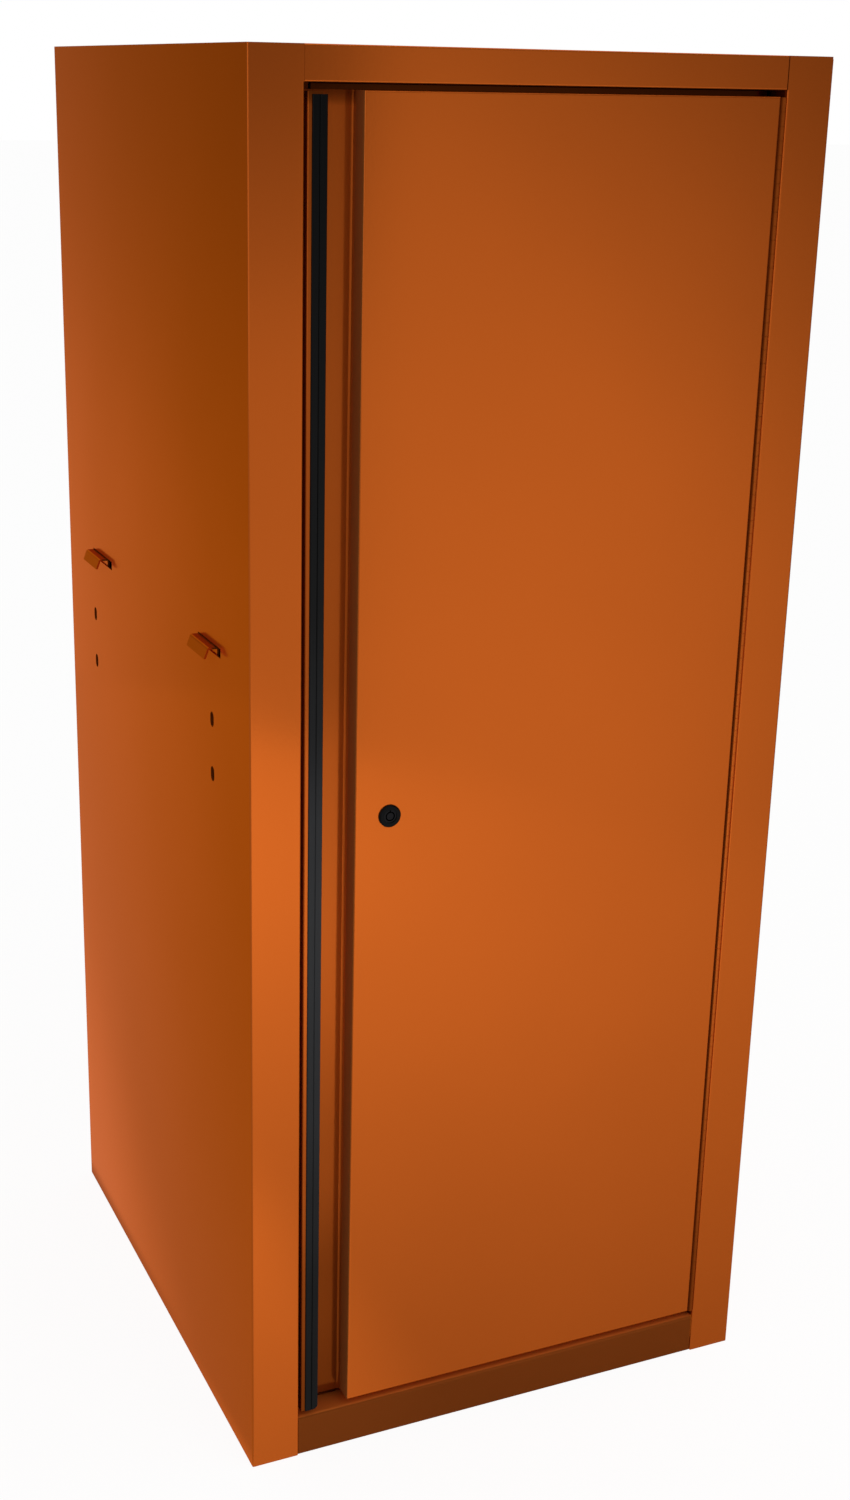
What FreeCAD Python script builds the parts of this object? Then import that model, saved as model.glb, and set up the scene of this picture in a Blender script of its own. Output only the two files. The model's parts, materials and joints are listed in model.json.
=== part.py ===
import FreeCAD, Part
import math
import os

import Sketcher

# Tool chest side locker: a tall folded-steel cabinet with one full height door.
# X runs to the right, Y from the front to the back and Z up. The origin is the centre of the base.

DOC = FreeCAD.newDocument("side_locker")

# ---------------------------------------------------------------- driving dimensions, millimetres

SIZES = {
    # cabinet
    "locker_width": 571.5,
    "locker_depth": 622.3,
    "locker_height": 1384.3,
    "panel_wall": 1.2,
    "back_wall": 1.0,
    "bend_inside": 0.4,
    "fold_inside": 0.3,
    "stile_width": 50.1,
    "hinge_stile_width": 48.2,
    "stop_width": 14.0,
    "column_lip": 13.0,
    "rear_flange": 22.0,
    "base_flange": 20.0,
    "seam_gap": 0.5,
    "top_rail_height": 30.0,
    "rail_gap": 0.2,
    "rail_end_gap": 1.0,
    "corner_relief_width": 5.5,
    "corner_relief_height": 2.5,
    "top_lip_depth": 26.5,
    "top_lip_turn": 10.0,
    "top_flange": 20.0,
    "rail_setback": 0.8,
    "sill_height": 45.0,
    "sill_nose": 4.0,
    "sill_turn": 18.0,
    "floor_flange": 25.0,
    "stiffener_width": 40.0,
    "stiffener_wall": 1.5,
    "stiffener_spacing": 150.0,
    # interior
    "standard_width": 20.0,
    "standard_depth": 10.0,
    "standard_front": 5.0,
    "standard_rear": 35.0,
    "standard_headroom": 40.0,
    "slot_pitch": 25.4,
    "slot_height": 12.0,
    "slot_width": 3.0,
    "slot_start": 20.0,
    "shelf_flange": 22.0,
    "shelf_gap": 0.8,
    "shelf_front": 4.5,
    "shelf_rear": 8.0,
    "clip_wall": 1.5,
    "clip_height": 14.0,
    "clip_width": 14.0,
    "clip_ledge": 12.0,
    "clip_tongue": 6.0,
    "clip_clearance": 0.2,
    # hooks and bolt slots on the left side
    "window_front": 80.0,
    "window_rear": 445.0,
    "window_length": 66.0,
    "window_rear_length": 74.0,
    "window_bottom": 843.5,
    "window_height": 9.3,
    "hook_length": 52.0,
    "hook_inset": 13.0,
    "hook_rear_inset": 21.0,
    "hook_wall": 2.0,
    "hook_head_gap": 1.3,
    "hook_reach": 8.0,
    "hook_flare": 4.0,
    "hook_drop": 10.7,
    "hook_bend": 3.0,
    "bracket_margin": 16.0,
    "bracket_bottom": 695.0,
    "bracket_shoulder": 838.0,
    "bolt_slot_front": 106.6,
    "bolt_slot_rear": 517.5,
    "bolt_slot_low": 721.5,
    "bolt_slot_spacing": 55.0,
    "bolt_slot_width": 10.0,
    "bolt_slot_length": 15.0,
    # door
    "door_setback": 1.0,
    "door_side_gap": 3.1,
    "door_top_gap": 5.7,
    "door_bottom_gap": 7.1,
    "recess_depth": 23.2,
    "channel_top_gap": 1.4,
    "strip_width": 4.1,
    "lip_width": 14.0,
    "finger_gap": 33.3,
    "recess_bend": 3.6,
    "liner_side_gap": 1.2,
    "liner_top_gap": 1.0,
    "door_flange": 18.0,
    "hat_width": 40.0,
    "hat_centre": 320.0,
    "hat_end_gap": 12.0,
    # grip trim on the door's lip
    "trim_width": 13.9,
    "trim_proud": 1.4,
    "trim_back": 2.0,
    "trim_tail": 2.4,
    "trim_groove": 0.6,
    "trim_end_radius": 6.0,
    "trim_round": 1.1,
    "trim_top_gap": 3.7,
    # piano hinge
    "hinge_barrel": 5.8,
    "hinge_proud": 0.6,
    "hinge_pin": 3.2,
    "hinge_play": 0.05,
    "leaf_wall": 1.2,
    "leaf_width": 19.0,
    "knuckle_length": 12.7,
    "knuckle_gap": 0.3,
    "hinge_end_gap": 0.5,
    "leaf_rivet_margin": 18.0,
    "leaf_rivet_inset": 12.0,
    "leaf_rivet_count": 13,
    # rivets
    "rivet_radius": 1.6,
    "rivet_hole_gap": 0.1,
    "rivet_head_radius": 3.2,
    "rivet_head_height": 1.0,
    "rivet_tail_radius": 2.4,
    "rivet_tail_height": 1.2,
    "back_rivet_inset": 11.0,
    # stops on the left jamb
    "bumper_height": 2.2,
    "bumper_gap": 0.3,
    "bumper_radius": 4.0,
    "bumper_inset": 9.0,
    "bumper_end": 120.0,
    "magnet_end": 320.0,
    # lock
    "lock_offset": 139.8,
    "lock_height": 697.0,
    "lock_face_radius": 11.1,
    "lock_face_height": 2.6,
    "lock_face_round": 1.2,
    "lock_thread_radius": 9.5,
    "lock_hole_gap": 0.15,
    "lock_body_length": 15.0,
    "plug_radius": 6.5,
    "plug_play": 0.05,
    "plug_recess": 0.8,
    "key_groove_outer": 4.8,
    "key_groove_inner": 3.5,
    "key_groove_depth": 5.0,
    "key_notch_width": 1.6,
    "nut_across_flats": 24.0,
    "nut_height": 4.0,
    "cam_gap": 0.3,
    "cam_wall": 2.0,
    "cam_square": 6.0,
    "cam_hub_radius": 8.0,
    "cam_ear_radius": 4.0,
    "cam_throw": 7.1,
    "pin_radius": 2.0,
    "screw_radius": 2.0,
    "screw_length": 7.0,
    "screw_head_radius": 4.5,
    "screw_head_height": 2.0,
    "screw_slot_width": 1.0,
    # lock rods
    "rod_gap": 0.3,
    "rod_wall": 2.0,
    "rod_width": 12.0,
    "rod_offset": 8.6,
    "rod_slot_height": 4.9,
    "rod_slot_length": 7.7,
    "rod_foot": 6.0,
    "rod_end_gap": 0.5,
    "rod_tip_chamfer": 2.5,
    "keeper_gap": 1.0,
    "guide_gap": 0.3,
    "guide_wall": 3.0,
    "guide_height": 12.0,
    "guide_distance": 6.0,
}

# Shelf places, as the number of the standard's slot that holds each shelf's clips.
SHELF_SLOTS = {"lower": 12, "middle": 24, "upper": 37}

# How many rivets hold the back sheet down each side and across each end.
BACK_RIVET_ROWS = 8
BACK_RIVET_COLUMNS = 5

SHEET = DOC.addObject("Spreadsheet::Sheet", "Sizes")


class Size:
    """A length, kept as its value and as the expression that reads it from the sheet."""

    def __init__(self, value, text):
        self.value = float(value)
        self.text = text

    def combine(self, other, sign, value):
        return Size(value, f"({self.text} {sign} {other.text})")

    def __add__(self, other):
        other = as_size(other)
        return self.combine(other, "+", self.value + other.value)

    def __sub__(self, other):
        other = as_size(other)
        return self.combine(other, "-", self.value - other.value)

    def __mul__(self, other):
        other = as_size(other)
        return self.combine(other, "*", self.value * other.value)

    def __truediv__(self, other):
        other = as_size(other)
        return self.combine(other, "/", self.value / other.value)

    def __neg__(self):
        return Size(-self.value, f"(0 - {self.text})")

    def __radd__(self, other):
        return as_size(other) + self

    def __rsub__(self, other):
        return as_size(other) - self

    def __rmul__(self, other):
        return as_size(other) * self


def as_size(value):
    """A plain number as a Size."""
    return value if isinstance(value, Size) else Size(value, f"({float(value)!r})")


class Dimensions:
    """The sheet's cells by name."""

    def __init__(self, table):
        for row, (name, value) in enumerate(table.items(), start=1):
            SHEET.set(f"A{row}", name)
            SHEET.set(f"B{row}", str(value))
            SHEET.setAlias(f"B{row}", name)
            setattr(self, name, Size(value, f"Sizes.{name}"))


s = Dimensions(SIZES)
DOC.recompute()

# ---------------------------------------------------------------- planes worked out from the sizes

ZERO = as_size(0)
LEFT = -s.locker_width / 2
RIGHT = s.locker_width / 2
FRONT = -s.locker_depth / 2
BACK = s.locker_depth / 2
TOP = s.locker_height
WALL = s.panel_wall
BEND = s.bend_inside + WALL
FOLD = s.fold_inside + WALL

BACK_FACE = BACK - s.rivet_head_height
BACK_INNER = BACK_FACE - s.back_wall
JAMB_LEFT = LEFT + s.stile_width
JAMB_RIGHT = RIGHT - s.hinge_stile_width
RAIL_LEFT = JAMB_LEFT + s.rail_gap
RAIL_RIGHT = JAMB_RIGHT - s.rail_end_gap
RAIL_BOTTOM = TOP - s.top_rail_height
SILL = s.sill_height

DOOR_FACE = FRONT + s.door_setback
DOOR_TOP = RAIL_BOTTOM - s.door_top_gap
DOOR_BOTTOM = SILL + s.door_bottom_gap
DOOR_LEFT = JAMB_LEFT + s.door_side_gap
DOOR_RIGHT = JAMB_RIGHT - s.hinge_barrel
RECESS_FLOOR = DOOR_FACE + s.recess_depth
CHANNEL_REAR = RECESS_FLOOR + WALL
DOOR_REAR = CHANNEL_REAR + WALL
TRIM_LEFT = DOOR_LEFT + s.strip_width
TRIM_RIGHT = TRIM_LEFT + s.trim_width
RECESS_WALL = TRIM_RIGHT + s.finger_gap

STOP_FACE = CHANNEL_REAR + s.bumper_gap + s.bumper_height
JAMB_REAR = STOP_FACE + WALL
INNER_LEFT = LEFT + WALL + s.seam_gap
INNER_RIGHT = RIGHT - WALL - s.seam_gap
FLOOR_FRONT = JAMB_REAR + s.seam_gap
FLANGE_LEFT = LEFT + s.rear_flange + s.seam_gap
FLANGE_RIGHT = RIGHT - s.rear_flange - s.seam_gap
FLANGE_FRONT = BACK_INNER - WALL - s.seam_gap
CORNER_FRONT = FLANGE_FRONT - s.bend_inside

PIVOT_X = JAMB_RIGHT - s.hinge_barrel / 2
PIVOT_Y = FRONT + s.hinge_barrel / 2 - s.hinge_proud

LOCK_X = LEFT + s.lock_offset
LOCK_Z = s.lock_height
CAM_FRONT = s.lock_body_length + s.cam_gap
CAM_REAR = CAM_FRONT + s.cam_wall
SCREW_REAR = CAM_REAR + s.screw_head_height
ROD_FRONT = DOOR_FACE + SCREW_REAR + s.rod_gap
ROD_REAR = ROD_FRONT + s.rod_wall

# ---------------------------------------------------------------- drawing helpers

# For each axis: the origin plane across it, the sign that moves a sketch along it, and whether a
# pad and a pocket have to be reversed to run towards the axis's positive end.
AXES = {
    "X": ("YZ_Plane", 1, False, True),
    "Y": ("XZ_Plane", -1, True, False),
    "Z": ("XY_Plane", 1, False, True),
}
CROSS = {"X": (1, 2), "Y": (0, 2), "Z": (0, 1)}
TOUCH = 0.01
OVERRUN = 1.0

PARTS = []
CUTS = []


def new_body(label):
    """A PartDesign body that becomes one sub-part."""
    body = DOC.addObject("PartDesign::Body", label)
    body.Label = label
    PARTS.append(body)
    return body


def origin_feature(body, role):
    """The body's own origin plane or axis of this role."""
    return next(item for item in body.Origin.OriginFeatures if item.Role == role)


def new_sketch(body, name, axis, offset):
    """A sketch across the axis, at the offset along it."""
    role, sign, _, _ = AXES[axis]
    sketch = body.newObject("Sketcher::SketchObject", f"{body.Label}_{name}_sketch")
    sketch.AttachmentSupport = [(origin_feature(body, role), "")]
    sketch.MapMode = "FlatFace"
    sketch.setExpression("AttachmentOffset.Base.z", (as_size(offset) * sign).text)
    return sketch


def bind(sketch, kind, *where, size):
    """Add a dimension to the sketch and tie it to the sheet."""
    size = as_size(size)
    number = sketch.addConstraint(Sketcher.Constraint(kind, *where, size.value))
    sketch.setExpression(f"Constraints[{number}]", size.text)


def pin_point(sketch, piece, end, x, y):
    """Tie one point of a sketch's piece to its place."""
    bind(sketch, "DistanceX", -1, 1, piece, end, size=x)
    bind(sketch, "DistanceY", -1, 1, piece, end, size=y)


def polygon(*corners):
    """An outline with straight sides."""
    corners = [(as_size(x), as_size(y)) for x, y in corners]

    def draw(sketch):
        first = sketch.GeometryCount
        count = len(corners)
        points = [FreeCAD.Vector(x.value, y.value, 0) for x, y in corners]
        for index, point in enumerate(points):
            sketch.addGeometry(Part.LineSegment(point, points[(index + 1) % count]), False)
        for index in range(count):
            follower = first + (index + 1) % count
            sketch.addConstraint(Sketcher.Constraint("Coincident", first + index, 2, follower, 1))
        for index, (x, y) in enumerate(corners):
            pin_point(sketch, first + index, 1, x, y)

    return draw


def rectangle(x_low, x_high, y_low, y_high):
    """A rectangle from its four sides."""
    return polygon((x_low, y_low), (x_high, y_low), (x_high, y_high), (x_low, y_high))


def circle(x, y, radius):
    """A round outline."""
    x, y, radius = as_size(x), as_size(y), as_size(radius)

    def draw(sketch):
        centre = FreeCAD.Vector(x.value, y.value, 0)
        piece = sketch.addGeometry(Part.Circle(centre, FreeCAD.Vector(0, 0, 1), radius.value), False)
        pin_point(sketch, piece, 3, x, y)
        bind(sketch, "Radius", piece, size=radius)

    return draw


def obround(x, y, width, length, upright):
    """A slot with round ends, its long way upright or level."""
    x, y, radius = as_size(x), as_size(y), as_size(width) / 2
    reach = (as_size(length) - width) / 2

    def draw(sketch):
        turn = 0.0 if upright else -math.pi / 2
        along = (ZERO, reach) if upright else (reach, ZERO)
        ends = [(x + along[0], y + along[1]), (x - along[0], y - along[1])]
        arcs = []
        for number, (end_x, end_y) in enumerate(ends):
            centre = FreeCAD.Vector(end_x.value, end_y.value, 0)
            round_end = Part.Circle(centre, FreeCAD.Vector(0, 0, 1), radius.value)
            start = turn + number * math.pi
            arcs.append(sketch.addGeometry(Part.ArcOfCircle(round_end, start, start + math.pi), False))
        for first, second in ((arcs[0], arcs[1]), (arcs[1], arcs[0])):
            from_point = sketch.getPoint(first, 2)
            to_point = sketch.getPoint(second, 1)
            side = sketch.addGeometry(Part.LineSegment(from_point, to_point), False)
            sketch.addConstraint(Sketcher.Constraint("Tangent", first, 2, side, 1))
            sketch.addConstraint(Sketcher.Constraint("Tangent", side, 2, second, 1))
        sketch.addConstraint(Sketcher.Constraint("Equal", arcs[0], arcs[1]))
        for arc, (end_x, end_y) in zip(arcs, ends):
            pin_point(sketch, arc, 3, end_x, end_y)
        bind(sketch, "Radius", arcs[0], size=radius)

    return draw


def corner_round(x, y, radius):
    """What a round takes off a lower right-hand corner."""
    x, y, radius = as_size(x), as_size(y), as_size(radius)
    start, end = y + radius, x - radius
    corners = [(end, y), (end, y - OVERRUN), (x + OVERRUN, y - OVERRUN), (x + OVERRUN, start), (x, start)]

    def draw(sketch):
        points = [FreeCAD.Vector(a.value, b.value, 0) for a, b in corners]
        for first, second in zip(points, points[1:]):
            sketch.addGeometry(Part.LineSegment(first, second), False)
        for number in range(len(points) - 2):
            sketch.addConstraint(Sketcher.Constraint("Coincident", number, 2, number + 1, 1))
        for number, (a, b) in enumerate(corners[:-1]):
            pin_point(sketch, number, 1, a, b)
        last = len(points) - 2
        pin_point(sketch, last, 2, *corners[-1])
        centre = FreeCAD.Vector(end.value, start.value, 0)
        round_side = Part.Circle(centre, FreeCAD.Vector(0, 0, 1), radius.value)
        arc = sketch.addGeometry(Part.ArcOfCircle(round_side, -math.pi / 2, 0), False)
        sketch.addConstraint(Sketcher.Constraint("Coincident", arc, 1, 0, 1))
        sketch.addConstraint(Sketcher.Constraint("Coincident", arc, 2, last, 2))
        bind(sketch, "Radius", arc, size=radius)

    return draw


def prism(body, name, axis, low, high, *outlines):
    """Add the outlines, run along the axis from low to high."""
    sketch = new_sketch(body, name, axis, low)
    for draw in outlines:
        draw(sketch)
    pad = body.newObject("PartDesign::Pad", f"{body.Label}_{name}")
    pad.Profile = sketch
    pad.setExpression("Length", (as_size(high) - low).text)
    pad.Reversed = AXES[axis][2]
    return pad


def cut(body, name, axis, low, high, *outlines):
    """Cut the outlines out, along the axis from low to high."""
    sketch = new_sketch(body, name, axis, low)
    for draw in outlines:
        draw(sketch)
    before = body.Tip
    pocket = body.newObject("PartDesign::Pocket", f"{body.Label}_{name}")
    pocket.Profile = sketch
    pocket.setExpression("Length", (as_size(high) - low).text)
    pocket.Reversed = AXES[axis][3]
    CUTS.append((pocket, before))
    return pocket


def turned(body, name, *corners):
    """A solid of revolution about the body's Y axis: each corner is a radius and a depth."""
    sketch = new_sketch(body, name, "Z", ZERO)
    polygon(*corners)(sketch)
    revolution = body.newObject("PartDesign::Revolution", f"{body.Label}_{name}")
    revolution.Profile = sketch
    revolution.ReferenceAxis = (sketch, ["V_Axis"])
    revolution.Angle = 360
    return revolution


def repeat(body, feature, axis, pitch, count):
    """Repeat a feature along the axis."""
    pattern = body.newObject("PartDesign::LinearPattern", f"{feature.Name}_row")
    pattern.Originals = [feature]
    pattern.Direction = (origin_feature(body, f"{axis}_Axis"), [""])
    pattern.Occurrences = count
    pattern.setExpression("Length", (as_size(pitch) * (count - 1)).text)
    body.Tip = pattern
    return pattern


def edges_along(shape, axis, places):
    """Names of the straight edges along the axis that stand at the places across it."""
    direction = FreeCAD.Vector(*[1.0 if letter == axis else 0.0 for letter in "XYZ"])
    names = []
    for number, edge in enumerate(shape.Edges, start=1):
        if not isinstance(edge.Curve, Part.Line):
            continue
        if abs(abs(edge.Curve.Direction.dot(direction)) - 1) > 1e-6:
            continue
        point = edge.Vertexes[0].Point
        across = [point[index] for index in CROSS[axis]]
        for place in places:
            if all(abs(as_size(a).value - b) < TOUCH for a, b in zip(place, across)):
                names.append(f"Edge{number}")
    return names


def round_edges(body, name, radius, **places):
    """Round the straight edges at the given places: X, Y or Z lists of places across that axis."""
    DOC.recompute()
    base = body.Tip
    names = []
    for axis, where in places.items():
        names += edges_along(base.Shape, axis, where)
    fillet = body.newObject("PartDesign::Fillet", f"{body.Label}_{name}")
    fillet.Base = (base, names)
    fillet.setExpression("Radius", as_size(radius).text)
    return fillet


def place_body(body, x, y, z):
    """Put a body that is drawn about its own axis where it belongs."""
    for letter, value in zip("xyz", (x, y, z)):
        body.setExpression(f".Placement.Base.{letter}", as_size(value).text)


def block(name, x_low, x_high, y_low, y_high, z_low, z_high):
    """A Part box between two corners."""
    box = DOC.addObject("Part::Box", name)
    for letter, length, low, high in (("x", "Length", x_low, x_high), ("y", "Width", y_low, y_high),
                                      ("z", "Height", z_low, z_high)):
        box.setExpression(f".Placement.Base.{letter}", as_size(low).text)
        box.setExpression(length, (as_size(high) - low).text)
    return box


def group(label, members):
    """Separate solids that share one sub-part."""
    compound = DOC.addObject("Part::Compound", label)
    compound.Label = label
    compound.Links = members
    PARTS.append(compound)
    return compound


def rivet_row(label, direction, places, grip):
    """Domed rivets, all with their heads towards the direction, through sheets of total grip."""
    outward = FreeCAD.Vector(*direction)
    head_radius = s.rivet_head_radius.value
    head = s.rivet_head_height.value
    solids = []
    for place in places:
        seat = FreeCAD.Vector(*[as_size(value).value for value in place])
        dome = Part.makeCone(head_radius, head_radius / 2, head, seat, outward)
        shank_start = seat - outward * grip.value
        shank = Part.makeCylinder(s.rivet_radius.value, grip.value, shank_start, outward)
        tail = Part.makeCylinder(s.rivet_tail_radius.value, s.rivet_tail_height.value, shank_start, -outward)
        solids.append(dome.fuse([shank, tail]).removeSplitter())
    row = DOC.addObject("Part::Feature", label)
    row.Label = label
    row.Shape = Part.makeCompound(solids)
    PARTS.append(row)
    return row


def spread(low, high, count):
    """Evenly spaced values from low to high."""
    step = (high - low) / (count - 1)
    return [low + step * number for number in range(count)]


# ---------------------------------------------------------------- places that several pieces share

RIVET_HOLE = s.rivet_radius + s.rivet_hole_gap
BACK_RIVET_LEFT = LEFT + s.back_rivet_inset
BACK_RIVET_RIGHT = RIGHT - s.back_rivet_inset
BACK_RIVET_TOP = TOP - s.back_rivet_inset
BACK_RIVET_BOTTOM = s.back_rivet_inset + s.base_flange
BACK_RIVET_HEIGHTS = spread(BACK_RIVET_BOTTOM, TOP - s.back_rivet_inset - s.top_flange, BACK_RIVET_ROWS)
BACK_RIVET_CENTRES = spread(BACK_RIVET_LEFT + s.rear_flange + s.back_rivet_inset,
                            BACK_RIVET_RIGHT - s.rear_flange - s.back_rivet_inset, BACK_RIVET_COLUMNS)

HINGE_ROOM = DOOR_TOP - DOOR_BOTTOM - 2 * s.hinge_end_gap
KNUCKLES = math.floor(HINGE_ROOM.value / s.knuckle_length.value)
HINGE_LENGTH = s.knuckle_length * KNUCKLES
HINGE_BOTTOM = (DOOR_TOP + DOOR_BOTTOM - HINGE_LENGTH) / 2
HINGE_TOP = HINGE_BOTTOM + HINGE_LENGTH
HINGE_RIVET_Y = PIVOT_Y + s.leaf_rivet_inset
HINGE_RIVET_COUNT = round(s.leaf_rivet_count.value)
HINGE_RIVET_STEP = (HINGE_LENGTH - 2 * s.leaf_rivet_margin) / HINGE_RIVET_COUNT
FRAME_RIVET_HEIGHTS = [HINGE_BOTTOM + s.leaf_rivet_margin + HINGE_RIVET_STEP * (number + 0.25)
                       for number in range(HINGE_RIVET_COUNT)]
DOOR_RIVET_HEIGHTS = [HINGE_BOTTOM + s.leaf_rivet_margin + HINGE_RIVET_STEP * (number + 0.75)
                      for number in range(HINGE_RIVET_COUNT)]

WINDOW_TOP = s.window_bottom + s.window_height
BOLT_SLOT_HEIGHTS = [s.bolt_slot_low, s.bolt_slot_low + s.bolt_slot_spacing]

STANDARD_FRONT = JAMB_REAR + s.standard_front
STANDARD_REAR = BACK_INNER - s.standard_rear - s.standard_width
STANDARD_TOP = TOP - s.standard_headroom
STANDARD_FACE_LEFT = LEFT + WALL + s.standard_depth
STANDARD_FACE_RIGHT = RIGHT - WALL - s.standard_depth

UPPER_ROD_X = LOCK_X - s.rod_offset
LOWER_ROD_X = LOCK_X + s.rod_offset
KEEPER_HALF = s.rod_width / 2 + s.keeper_gap


def rod_passage(rod_x):
    """The opening that a lock rod passes through."""
    return rectangle(rod_x - KEEPER_HALF, rod_x + KEEPER_HALF,
                     ROD_FRONT - s.keeper_gap, ROD_REAR + s.keeper_gap)


# ---------------------------------------------------------------- cabinet body

def rear_flange_holes(x):
    """Rivet holes down a side panel's rear flange."""
    return [circle(x, height, RIVET_HOLE) for height in BACK_RIVET_HEIGHTS]


def make_left_side_panel():
    body = new_body("left_side_panel")
    column = JAMB_LEFT - WALL
    stop_end = JAMB_LEFT + s.stop_width
    inner = LEFT + WALL
    prism(body, "sheet", "Z", ZERO, TOP, polygon(
        (stop_end, STOP_FACE), (JAMB_LEFT, STOP_FACE), (JAMB_LEFT, FRONT), (LEFT, FRONT),
        (LEFT, BACK_INNER), (LEFT + s.rear_flange, BACK_INNER),
        (LEFT + s.rear_flange, BACK_INNER - WALL), (inner, BACK_INNER - WALL),
        (inner, FRONT + WALL), (column, FRONT + WALL), (column, JAMB_REAR), (stop_end, JAMB_REAR)))
    round_edges(body, "outer_bends", BEND, Z=[
        (JAMB_LEFT, FRONT), (LEFT, FRONT), (LEFT, BACK_INNER)])
    round_edges(body, "inner_bends", s.bend_inside, Z=[
        (inner, BACK_INNER - WALL), (inner, FRONT + WALL), (column, FRONT + WALL)])
    round_edges(body, "stop_outer_bend", FOLD, Z=[(column, JAMB_REAR)])
    round_edges(body, "stop_inner_bend", s.fold_inside, Z=[(JAMB_LEFT, STOP_FACE)])
    prism(body, "base_flange", "Z", ZERO, WALL,
          rectangle(LEFT, LEFT + s.base_flange, JAMB_REAR, BACK_INNER - BEND))
    # The bend is filled and ground square where it meets the top rail.
    prism(body, "rail_corner", "Z", RAIL_BOTTOM, TOP, polygon(
        (JAMB_LEFT - BEND, FRONT), (JAMB_LEFT, FRONT), (JAMB_LEFT, FRONT + BEND)))
    cut(body, "top_seat", "Z", TOP - WALL, TOP + OVERRUN,
        rectangle(inner, stop_end + OVERRUN, FRONT + WALL, BACK_INNER + OVERRUN))
    cut(body, "stop_foot", "Z", -OVERRUN, SILL + s.seam_gap,
        rectangle(JAMB_LEFT, stop_end + OVERRUN, STOP_FACE - BEND, JAMB_REAR + OVERRUN))
    window = (s.window_bottom, WINDOW_TOP)
    window_front = FRONT + s.window_front
    window_rear = FRONT + s.window_rear
    cut(body, "hook_windows", "X", LEFT - OVERRUN, inner + OVERRUN,
        rectangle(window_front, window_front + s.window_length, *window),
        rectangle(window_rear, window_rear + s.window_rear_length, *window))
    cut(body, "bolt_slots", "X", LEFT - OVERRUN, inner + OVERRUN, *[
        obround(FRONT + place, height, s.bolt_slot_width, s.bolt_slot_length, True)
        for place in (s.bolt_slot_front, s.bolt_slot_rear) for height in BOLT_SLOT_HEIGHTS])
    cut(body, "rivet_holes", "Y", BACK_INNER - WALL - OVERRUN, BACK_INNER + OVERRUN,
        *rear_flange_holes(BACK_RIVET_LEFT))


def make_right_side_panel():
    body = new_body("right_side_panel")
    column = JAMB_RIGHT + WALL
    lip_end = JAMB_RIGHT + s.column_lip
    inner = RIGHT - WALL
    prism(body, "sheet", "Z", ZERO, TOP, polygon(
        (lip_end, JAMB_REAR), (JAMB_RIGHT, JAMB_REAR), (JAMB_RIGHT, FRONT), (RIGHT, FRONT),
        (RIGHT, BACK_INNER), (RIGHT - s.rear_flange, BACK_INNER),
        (RIGHT - s.rear_flange, BACK_INNER - WALL), (inner, BACK_INNER - WALL),
        (inner, FRONT + WALL), (column, FRONT + WALL), (column, STOP_FACE), (lip_end, STOP_FACE)))
    round_edges(body, "outer_bends", BEND, Z=[
        (JAMB_RIGHT, FRONT), (RIGHT, FRONT), (RIGHT, BACK_INNER)])
    round_edges(body, "inner_bends", s.bend_inside, Z=[
        (inner, BACK_INNER - WALL), (inner, FRONT + WALL), (column, FRONT + WALL)])
    round_edges(body, "lip_outer_bend", FOLD, Z=[(JAMB_RIGHT, JAMB_REAR)])
    round_edges(body, "lip_inner_bend", s.fold_inside, Z=[(column, STOP_FACE)])
    prism(body, "base_flange", "Z", ZERO, WALL,
          rectangle(RIGHT - s.base_flange, RIGHT, JAMB_REAR, BACK_INNER - BEND))
    prism(body, "rail_corner", "Z", RAIL_BOTTOM, TOP, polygon(
        (JAMB_RIGHT + BEND, FRONT), (JAMB_RIGHT, FRONT), (JAMB_RIGHT, FRONT + BEND)))
    cut(body, "top_seat", "Z", TOP - WALL, TOP + OVERRUN,
        rectangle(JAMB_RIGHT - OVERRUN, inner, FRONT + WALL, BACK_INNER + OVERRUN))
    relief = TOP - s.corner_relief_height
    cut(body, "corner_relief", "Y", FRONT - OVERRUN, FRONT + BEND, polygon(
        (RIGHT - s.corner_relief_width, TOP), (RIGHT, relief), (RIGHT + OVERRUN, relief),
        (RIGHT + OVERRUN, TOP + OVERRUN), (RIGHT - s.corner_relief_width, TOP + OVERRUN)))
    cut(body, "rivet_holes", "Y", BACK_INNER - WALL - OVERRUN, BACK_INNER + OVERRUN,
        *rear_flange_holes(BACK_RIVET_RIGHT))
    cut(body, "hinge_holes", "X", JAMB_RIGHT - OVERRUN, column + OVERRUN,
        *[circle(HINGE_RIVET_Y, height, RIVET_HOLE) for height in FRAME_RIVET_HEIGHTS])


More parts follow.
